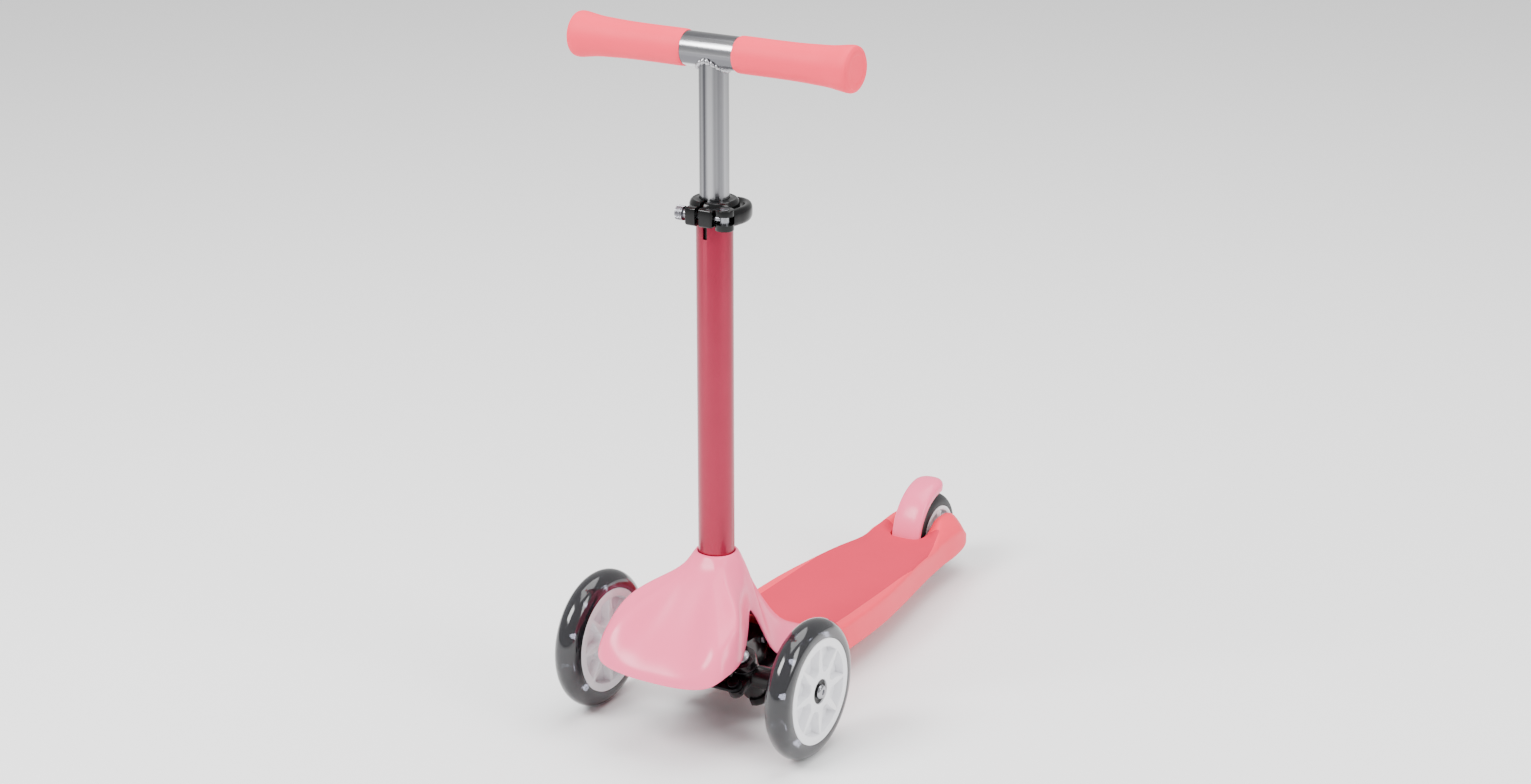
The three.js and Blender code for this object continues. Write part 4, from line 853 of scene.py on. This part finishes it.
# %% Bend the lever
LEVER = {
    "mean": 28.2, "thick": 8, "deep": 14.5, "tip": 0.55, "start": -22, "end": 104, "root": 0.12,
    "round": 0.94, "fade": 0.062,
}
pivot_angle = degrees(atan2(PIVOT[1], PIVOT[0]))
pivot_reach = hypot(*PIVOT)
lever_rings = []
LEVER_STEPS = 36
for i in range(LEVER_STEPS + 1):
    share = i / LEVER_STEPS
    blend = min(share / LEVER["root"], 1)
    start = (pivot_angle + LEVER["start"]) / 2
    angle = start + (LEVER["end"] - start) * share
    reach = LEVER["mean"] + ((pivot_reach - LEVER["mean"]) / 2) * (1 - blend)
    size = 1 - (1 - LEVER["tip"]) * share**4
    if share > LEVER["round"]:
        size *= sqrt(max(1 - ((share - LEVER["round"]) / LEVER["fade"]) ** 2, 0.02))
    section = oblong(28, LEVER["thick"] / 2 * size, LEVER["deep"] / 2 * size, (0.8, 0.7, 0.7))
    c, s = cos(radians(angle)), sin(radians(angle))
    lever_rings.append([((reach + x) * c, (reach + x) * s, z) for x, z in section])
lever = lofted("clamp_lever_moulded", lever_rings)
head = rod("head", 2 * PIVOT_RADIUS, -PIVOT_HALF, PIVOT_HALF, "z", 64, 0.8)
fuse(lever, moved(head, *PIVOT))
fork = rod("fork", 8.3, -3.6, 3.6, "z", 64, 0)
pin_hole = rod("pin_hole", PIVOT_RADIUS + 0.15, -12, 12, "z", soften=0)
carve(lever, [moved(fork, *PIVOT), moved(pin_hole, *PIVOT)])
clean_mesh(lever)
smooth(moved(lever, 0, COLUMN_Y, CLAMP_Z), 40)
paint_piece(lever, clamp_plastic, "lever", "clamp_plastic", "clamp_lever")
print("Lever faces:", len(lever.data.polygons))

# %% [markdown]
# ## Deck
# The deck is one moulding. Its top is a grid whose rows follow the deck's outline: the columns
# run from one side edge over the top to the other, and two of them follow the wheel slot. The
# faces inside the slot are deleted, the open edges are pulled down, and the sheet gets a wall.

# %% Lay out the deck's rows
DECK = {
    "front": 78, "length": 372, "half": 58, "top": 52.5, "bottom": 24.5, "rise": 11.8, "fall": 19,
    "curve": 1.5, "tail": 6, "wall": 3.2,
}
SLOT = {"half": 17.5, "corner": 10, "mouth": 425 - 54.5, "middle": 34, "foot": 25.5}
# The rounded edges, as steps in from the side and down from the top or up from the bottom,
# then the side wall between them, and the rim of each wall
EDGE_ROUND = ((3.8, 0), (2.4, 0.35), (1.2, 1.2), (0.4, 2.6), (0, 4.8))
FOOT_ROUND = ((0, 4), (0.6, 1.4), (2, 0))
SIDE_PARTS, SIDE_FULL = (0.3, 0.65, 1), 28
RIM_STEPS = (1, 3.5)
WIDTH_SHARES = [
    (0, 0.862), (0.06, 0.905), (0.154, 0.966), (0.236, 0.997), (0.33, 1), (0.425, 0.974),
    (0.528, 0.903), (0.653, 0.795), (0.737, 0.725), (0.832, 0.674), (0.913, 0.664),
    (0.959, 0.638), (0.986, 0.569), (1, 0.483),
]
# A ridge rises on each side of the wheel: how high, and where its crest lies on the half width
RIDGE_RISE = [
    (0, 0), (0.77, 0), (0.78, 0), (0.8, 0.12), (0.825, 0.37), (0.85, 0.68), (0.872, 0.92),
    (0.9, 1), (0.93, 0.96), (0.95, 0.8), (0.965, 0.6), (0.98, 0.3), (1, -0.25),
]
RIDGE_PLACE = [
    (0, 0.5), (0.7, 0.5), (0.77, 0.75), (0.8, 0.88), (0.825, 0.79), (0.85, 0.7), (0.872, 0.62),
    (0.9, 0.56), (0.93, 0.54), (1, 0.53),
]
LIP_RISE = [(0, 0), (0.8, 0), (0.83, 0.04), (0.852, 0.38), (0.873, 0.84), (0.9, 0.9), (1, 1)]
EDGE_FALL = [
    (0, 0), (0.6, 0), (0.61, 0), (0.66, 0.03), (0.71, 0.11), (0.755, 0.2), (0.8, 0.2),
    (0.87, 0.14), (0.925, 0.15), (0.945, 0.27), (0.962, 0.55), (0.978, 0.8), (1, 1),
]
TAIL_SHARES = [(0, 0), (0.89, 0), (0.9, 0), (0.95, 0.35), (1, 1)]
RIDGE_FOOT = 0.45
PANEL = {
    "inset": 11, "half": 47, "drop": 0.7, "front": 84, "turn": 180, "narrow": 345, "end": 391,
    "last": 30, "rim": 5, "fade": 4, "least": 0.35, "margin": 1.5,
}

deck_rows = [DECK["front"] + 14 * i for i in range(19)]
deck_rows += [338, 345, 351, 357, 363, 369]
mouth = SLOT["mouth"]
deck_rows += [mouth + step for step in (0, 0.5, 1.6, 3.4, 6, 10)]
deck_rows += [384, 387.5, 390.5, 391.5] + [395 + 5 * i for i in range(8)]
deck_rows += [434, 438, 442, 445.5, 448, 450]


def slot_half(y):
    """Half the slot's width, with the round corners of its mouth."""
    past = y - mouth
    if past >= SLOT["corner"]:
        return SLOT["half"]
    open_part = SLOT["corner"] ** 2 - (SLOT["corner"] - max(past, 0)) ** 2
    return SLOT["half"] - SLOT["corner"] + sqrt(max(open_part, 0))


def deck_width(y):
    return DECK["half"] * along(WIDTH_SHARES, (y - DECK["front"]) / DECK["length"])


def deck_height(y, x):
    """The top's height: up the ridge's inner slope, and from its crest down to the edge."""
    share = (y - DECK["front"]) / DECK["length"]
    across = x / deck_width(y)
    rise = DECK["rise"] * along(RIDGE_RISE, share)
    crest = along(RIDGE_PLACE, share)
    if across <= crest:
        up = min(max((across - RIDGE_FOOT) / (crest - RIDGE_FOOT), 0), 1)
        up = up * up * (3 - 2 * up)
        lip = along(LIP_RISE, share)
        return DECK["top"] + rise * (lip + (1 - lip) * up)
    fall = DECK["fall"] * along(EDGE_FALL, share)
    out = ((across - crest) / (1 - crest)) ** DECK["curve"]
    return DECK["top"] + rise - (rise + fall) * out


def panel_border(y, margin):
    """Where the grip panel ends, kept this far inside the deck's edge."""
    width = deck_width(y)
    if y < PANEL["turn"]:
        return min(PANEL["half"], width - PANEL["inset"])
    border = min(PANEL["half"], width - margin)
    if y <= PANEL["narrow"]:
        return border
    start = min(PANEL["half"], deck_width(PANEL["narrow"]) - margin)
    back = (y - PANEL["narrow"]) / (PANEL["end"] - PANEL["narrow"])
    return min(border, start + (PANEL["last"] - start) * min(back, 1))


def panel_depth(y, border):
    """How deep the panel lies: it fades out where the rim beside it runs out."""
    room = deck_width(y) - border - PANEL["rim"]
    rim = min(max(room / PANEL["fade"], PANEL["least"]), 1)
    if y > PANEL["narrow"]:
        rim *= max(1 - (y - PANEL["narrow"]) / (PANEL["end"] - PANEL["narrow"]), 0)
    return PANEL["drop"] * rim


def deck_row(y):
    """One row of points from the middle of the deck to the bottom of its side."""
    share = (y - DECK["front"]) / DECK["length"]
    width = deck_width(y)
    bottom = DECK["bottom"] + DECK["tail"] * along(TAIL_SHARES, share)
    inner = slot_half(y)
    border = panel_border(y, PANEL["rim"])
    depth = panel_depth(y, border) if y > PANEL["front"] else 0
    xs = [inner * part / 3 for part in range(4)]
    xs += [inner + (border - inner) * part / 10 for part in range(1, 11)]
    points = [(x, deck_height(y, x) - depth) for x in xs]
    room = width - EDGE_ROUND[0][0] - border
    for part in (min(PANEL["drop"] / room, 0.3), 0.62):
        x = border + room * part
        points.append((x, deck_height(y, x)))
    shoulder = deck_height(y, width - 1.65)
    firm = min((shoulder - bottom) / SIDE_FULL, 1)
    for out, down in EDGE_ROUND:
        points.append((width - out, max(deck_height(y, width - out), shoulder) - down * firm))
    low = bottom + FOOT_ROUND[0][1] * firm
    high = shoulder - EDGE_ROUND[-1][1] * firm
    for part in SIDE_PARTS:
        points.append((width, high + (low - high) * part))
    points += [(width - out, bottom + up * firm) for out, up in FOOT_ROUND[1:]]
    return points


rows = []
for y in deck_rows:
    half = deck_row(y)
    row = [(-x, y, z) for x, z in reversed(half)] + [(x, y, z) for x, z in half[1:]]
    rows.append(row)
deck = sheet("deck_moulded", rows)
print("Deck grid:", len(rows[0]), "by", len(rows))

# %% Open the slot and pull the walls down
panel = bmesh.new()
panel.from_mesh(deck.data)
hidden = []
for face in panel.faces:
    y = face.calc_center_median().y / MM
    inside_slot = all(abs(v.co.x) / MM <= slot_half(v.co.y / MM) + 0.01 for v in face.verts)
    if y > mouth and inside_slot:
        hidden.append(face)
bmesh.ops.delete(panel, geom=hidden, context="FACES")
panel.to_mesh(deck.data)
panel.free()


def is_steep(edge):
    span = edge.verts[0].co - edge.verts[1].co
    return abs(span.z) > 3 * hypot(span.x, span.y)


def pull_down(piece, chosen, steps):
    """Extrudes the chosen open edges straight down to each of the given heights."""
    pick(piece)
    bpy.ops.object.mode_set(mode="EDIT")
    bpy.ops.mesh.select_mode(type="EDGE")
    bpy.ops.mesh.select_all(action="DESELECT")
    mesh = bmesh.from_edit_mesh(piece.data)
    for edge in mesh.edges:
        if not edge.is_boundary or is_steep(edge):
            continue
        if all(chosen(vertex.co / MM) for vertex in edge.verts):
            edge.select_set(True)
    bmesh.update_edit_mesh(piece.data)
    for step in steps:
        bpy.ops.mesh.extrude_edges_move(TRANSFORM_OT_translate={"value": (0, 0, 0)})
        mesh = bmesh.from_edit_mesh(piece.data)
        for vertex in mesh.verts:
            if vertex.select:
                step(vertex.co)
        bmesh.update_edit_mesh(piece.data)
    leave_edit()


def drop_by(amount):
    def step(place):
        place.z -= amount * MM
    return step


def drop_to(height, reach=1000.0):
    def step(place):
        place.z = min(place.z, height * MM)
        place.x = copysign(min(abs(place.x), reach * MM), place.x)
    return step


def end_steps(y):
    """The heights at which an end face meets the points of the slot's wall and the side wall."""
    half = deck_row(y)
    top = half[3][1]
    side = half[-len(SIDE_PARTS) - len(FOOT_ROUND):]
    return [drop_to(top - step) for step in RIM_STEPS] + [drop_to(z, x) for x, z in side]


def on_slot(place):
    return place.y > mouth - 0.1 and abs(abs(place.x) - slot_half(place.y)) < 0.1 and place.z > 36


def on_mouth(place):
    return abs(place.y - mouth) < 0.1 and abs(place.x) < SLOT["half"] and place.z > 40


def on_front(place):
    return place.y < DECK["front"] + 0.1


def on_tail(place):
    return place.y > DECK["front"] + DECK["length"] - 0.1


pull_down(deck, on_front, end_steps(DECK["front"]))
pull_down(deck, on_tail, end_steps(DECK["front"] + DECK["length"]))
clean_mesh(deck, 0.02)
slot_edges = [drop_by(RIM_STEPS[0]), drop_by(RIM_STEPS[1] - RIM_STEPS[0])]
slot_edges += [drop_to(SLOT["middle"]), drop_to(SLOT["foot"])]
pull_down(deck, lambda place: on_slot(place) or on_mouth(place), slot_edges)
clean_mesh(deck, 0.02)
apply_modifier(deck, "SUBSURF", levels=2, render_levels=2)
apply_modifier(deck, "SOLIDIFY", thickness=DECK["wall"] * MM, offset=-1.0)
print("Deck faces:", len(deck.data.polygons))
moved(deck, 0, AXLE_Y)
smooth(deck, 50)

# %% [markdown]
# ### Ribs below the deck
# Seen from below, the moulding is hollow, with a long rib in the middle and ribs across.

# %% Add the ribs and colour the panel
RIB = {"half": 1.5, "low": 25, "high": 50, "front": 123.5, "back": 362, "count": 6}
half, low, high = RIB["half"], RIB["low"], RIB["high"]
ribs = [slab("rib_long", (-half, RIB["front"] + 2.5, low), (half, RIB["back"], high))]
for i in range(RIB["count"]):
    y = RIB["front"] + i * (RIB["back"] - RIB["front"]) / (RIB["count"] - 1)
    reach = deck_width(y) - 3
    ribs.append(slab(f"rib_{i}", (-reach, y - half, low), (reach, y + half, high)))
rib_lattice = merged("deck_ribs", ribs)
bevel(rib_lattice, 0.5)
moved(rib_lattice, 0, AXLE_Y)
smooth(rib_lattice)
paint_piece(rib_lattice, coral_plastic, "frame", "deck_plastic", "deck")
paint_piece(deck, coral_plastic, "frame", "deck_plastic", "deck")
deck.data.materials.append(panel_plastic.material)
panel_faces = 0
for face in deck.data.polygons:
    x, y, z = face.center / MM
    place = y - AXLE_Y
    if face.normal.z < 0.4 or z < 46 or not PANEL["front"] < place < PANEL["end"]:
        continue
    if abs(x) < panel_border(place, PANEL["margin"]) + 0.2:
        face.material_index = 1
        panel_faces += 1
print("Panel faces:", panel_faces)

# %% [markdown]
# ## Front cowl
# The cowl is a thin shell that flares from a collar on the column to a wide nose in front and
# two feet on the deck. Its CAD form is already a grid of ribs and rings, so a merged copy of it,
# turned back into quads, gets a subdivision surface, which rounds its ribs and its rim.

# %% Smooth the cowl
cowl = own_copy("front_cowl")
edit_all(cowl)
bpy.ops.mesh.tris_convert_to_quads(face_threshold=pi, shape_threshold=pi)
leave_edit()
quads = sum(len(face.vertices) == 4 for face in cowl.data.polygons)
print("Cowl:", quads, "of", len(cowl.data.polygons), "faces are quads")
apply_modifier(cowl, "SUBSURF", levels=2, render_levels=2)
smooth(cowl, 80)
paint_piece(cowl, pale_plastic, "frame", "cowl_plastic", "front_cowl")

# %% [markdown]
# ## Brake fender
# A fat rounded arch over the rear wheel. Its outside is a circle that is set back and up from
# the axle, and its tip is round.

# %% Loft the fender
BRAKE = {"inner": 43.5, "arch": 53, "back": 2, "rise": 4, "half": 15.2, "start": -16, "tip": 104}
HINGE = (-49, -7)


def arch_reach(angle):
    outward = BRAKE["rise"] * sin(angle) - BRAKE["back"] * cos(angle)
    sideways = BRAKE["rise"] * cos(angle) + BRAKE["back"] * sin(angle)
    return outward + sqrt(BRAKE["arch"] ** 2 - sideways**2)


fender_rings = []
FENDER_STEPS = 64
ROUND_SHARE = 0.86
for i in range(FENDER_STEPS + 1):
    share = i / FENDER_STEPS
    past = max(0, (share - ROUND_SHARE) / (1 - ROUND_SHARE))
    swept = share if past == 0 else ROUND_SHARE + (1 - ROUND_SHARE) * sin(past * pi / 2)
    size = 0.05 + 0.95 * cos(past * pi / 2)
    angle = radians(BRAKE["start"] + (BRAKE["tip"] - BRAKE["start"]) * swept)
    middle = (BRAKE["inner"] + arch_reach(angle)) / 2
    tall = (arch_reach(angle) - BRAKE["inner"]) / 2 * sqrt(size)
    section = oblong(40, BRAKE["half"] * size, tall, (0.7, 0.9, 0.35))
    c, s = cos(angle), sin(angle)
    fender_rings.append([(x, -(middle + z) * c, (middle + z) * s) for x, z in section])
fender = lofted("brake_fender_moulded", fender_rings)
BOSS_HALF, CUT_HALF = 9, 20
fuse(fender, moved(rod("boss", 5.5, -BOSS_HALF, BOSS_HALF, soften=0.4), 0, *HINGE))
hinge_hole = rod("hinge_hole", 3.15, -CUT_HALF, CUT_HALF, soften=0)
room_left = rod("room_left", 5.8, BOSS_HALF, CUT_HALF, soften=0)
room_right = rod("room_right", 5.8, -CUT_HALF, -BOSS_HALF, soften=0)
carve(fender, [moved(cutter, 0, *HINGE) for cutter in (hinge_hole, room_left, room_right)])
clean_mesh(fender)
smooth(moved(fender, 0, REAR_Y, REAR_Z), 50)
paint_piece(fender, pale_plastic, "brake", "cowl_plastic", "brake_fender")
print("Fender faces:", len(fender.data.polygons))

# %% [markdown]
# ### Return spring
# A short coil of wire round the hinge pin pushes the fender back up. A circle follows a helix:
# the Screw modifier does what a spring winder does.

# %% Wind the spring
COIL = {"wire": 0.7, "radius": 4.3, "turns": 2.5, "pitch": 5.8}
coil = added(
    "brake_spring_wound", bpy.ops.mesh.primitive_circle_add, vertices=16,
    radius=COIL["wire"] * MM,
)
for vertex in coil.data.vertices:
    vertex.co = (vertex.co.x + COIL["radius"] * MM, 0, vertex.co.y)
apply_modifier(
    coil, "SCREW", axis="Z", angle=COIL["turns"] * 2 * pi, steps=90, render_steps=90,
    screw_offset=COIL["pitch"] * MM, use_merge_vertices=False,
)
close_ends(coil)
coil.rotation_euler = (0, radians(90), 0)
coil.location = (10.3 * MM, 0, 0)
settle(coil)
moved(coil, 0, REAR_Y + HINGE[0], REAR_Z + HINGE[1])
smooth(coil, 60)
paint_piece(coil, steel, "frame", "steel", "brake_spring")
print("Spring faces:", len(coil.data.polygons))

# %% [markdown]
# ## Under the cowl
# The black truck housing, the knuckles, the kingpins and the tie rod keep their CAD form. A
# merged copy of each gets its flats joined and its edges rounded, as a mould or a tool leaves
# them.

# %% Round off the steering pieces
rounded_sets = [
    (0.8, black_plastic, "black_plastic", ["truck_housing"]),
    (0.6, black_plastic, "black_plastic", ["steering_knuckle_left", "steering_knuckle_right"]),
    (0.5, steel, "steel", ["kingpin_left", "kingpin_right"]),
    (0.5, steel, "steel", ["kingpin_nut_left", "kingpin_nut_right"]),
    (0.4, bush_rubber, "bush_rubber", ["kingpin_bush_left", "kingpin_bush_right"]),
    (0.5, black_steel, "black_steel", ["tie_rod"]),
    (0.4, black_steel, "black_steel", ["tie_rod_pin_left", "tie_rod_pin_right"]),
    (0.4, steel, "steel", ["rear_axle"]),
    (0.3, steel, "steel", ["housing_screw_left", "housing_screw_right"]),
    (0.4, steel, "steel", ["deck_bolt_left", "deck_bolt_right", "stem_bolt"]),
    (0.3, steel, "steel", ["brake_hinge_pin"]),
]
bodies = {"tie_rod": "steering_link"}
for side in ("left", "right"):
    bodies["steering_knuckle_" + side] = bodies["tie_rod_pin_" + side] = "knuckle_" + side
rounded_count = 0
for width, paint, slot, members in rounded_sets:
    for node in members:
        paint_piece(softened(node, width), paint, bodies.get(node, "frame"), slot, node)
        rounded_count += 1
print("Rounded pieces:", rounded_count)

# %% Paint the CAD nodes that stay
carried = {"stem_plug": steel, "tube_sleeve": clamp_plastic, "tube_glide": grey_plastic}
carried.update({node: steel for node in nodes if "spacer" in node})
for node, paint in carried.items():
    carried_mesh = nodes[node].data
    carried_mesh.materials.clear()
    carried_mesh.materials.append(paint.material)
print("Carried nodes:", len(carried))

# %% [markdown]
# ## Studio
# A plain pale floor and soft white light from all round, as for a catalogue photo. Tall soft
# boxes beside the scooter give the tubes their long highlights.

# %% Light the studio
floor = added("studio_floor", bpy.ops.mesh.primitive_plane_add, size=40)
floor_paint = Paint("floor_paper", Specular_IOR_Level=0.2)
floor_cloud = floor_paint.noise(900, 2)
floor_tint = floor_paint.mix(floor_cloud, colour(252, 252, 252), colour(250, 250, 250))
floor_paint.put("Base Color", floor_tint)
floor_paint.put("Roughness", 0.9 + 0.05 * floor_cloud)
floor.data.materials.append(floor_paint.material)

world = bpy.data.worlds.new("studio_world")
bpy.context.scene.world = world
world.use_nodes = True
world.node_tree.nodes["Background"].inputs["Color"].default_value = (1, 1, 1, 1)
world.node_tree.nodes["Background"].inputs["Strength"].default_value = 0.8


def soft_box(name, place, size, power, target=(0, 0, 0.2)):
    light = bpy.data.lights.new(name, "AREA")
    light.shape = "RECTANGLE"
    light.size, light.size_y = size
    light.energy = power
    lamp = bpy.data.objects.new(name, light)
    lamp.location = place
    lamp.rotation_euler = (Vector(target) - Vector(place)).to_track_quat("-Z", "Y").to_euler()
    bpy.context.scene.collection.objects.link(lamp)


soft_box("key_box", (-0.9, -1.9, 2.2), (1.2, 1.2), 100)
soft_box("side_box", (2.4, -0.2, 1.6), (0.8, 1.8), 46)
soft_box("top_box", (0.2, 0.4, 2.8), (2.2, 2.2), 75)
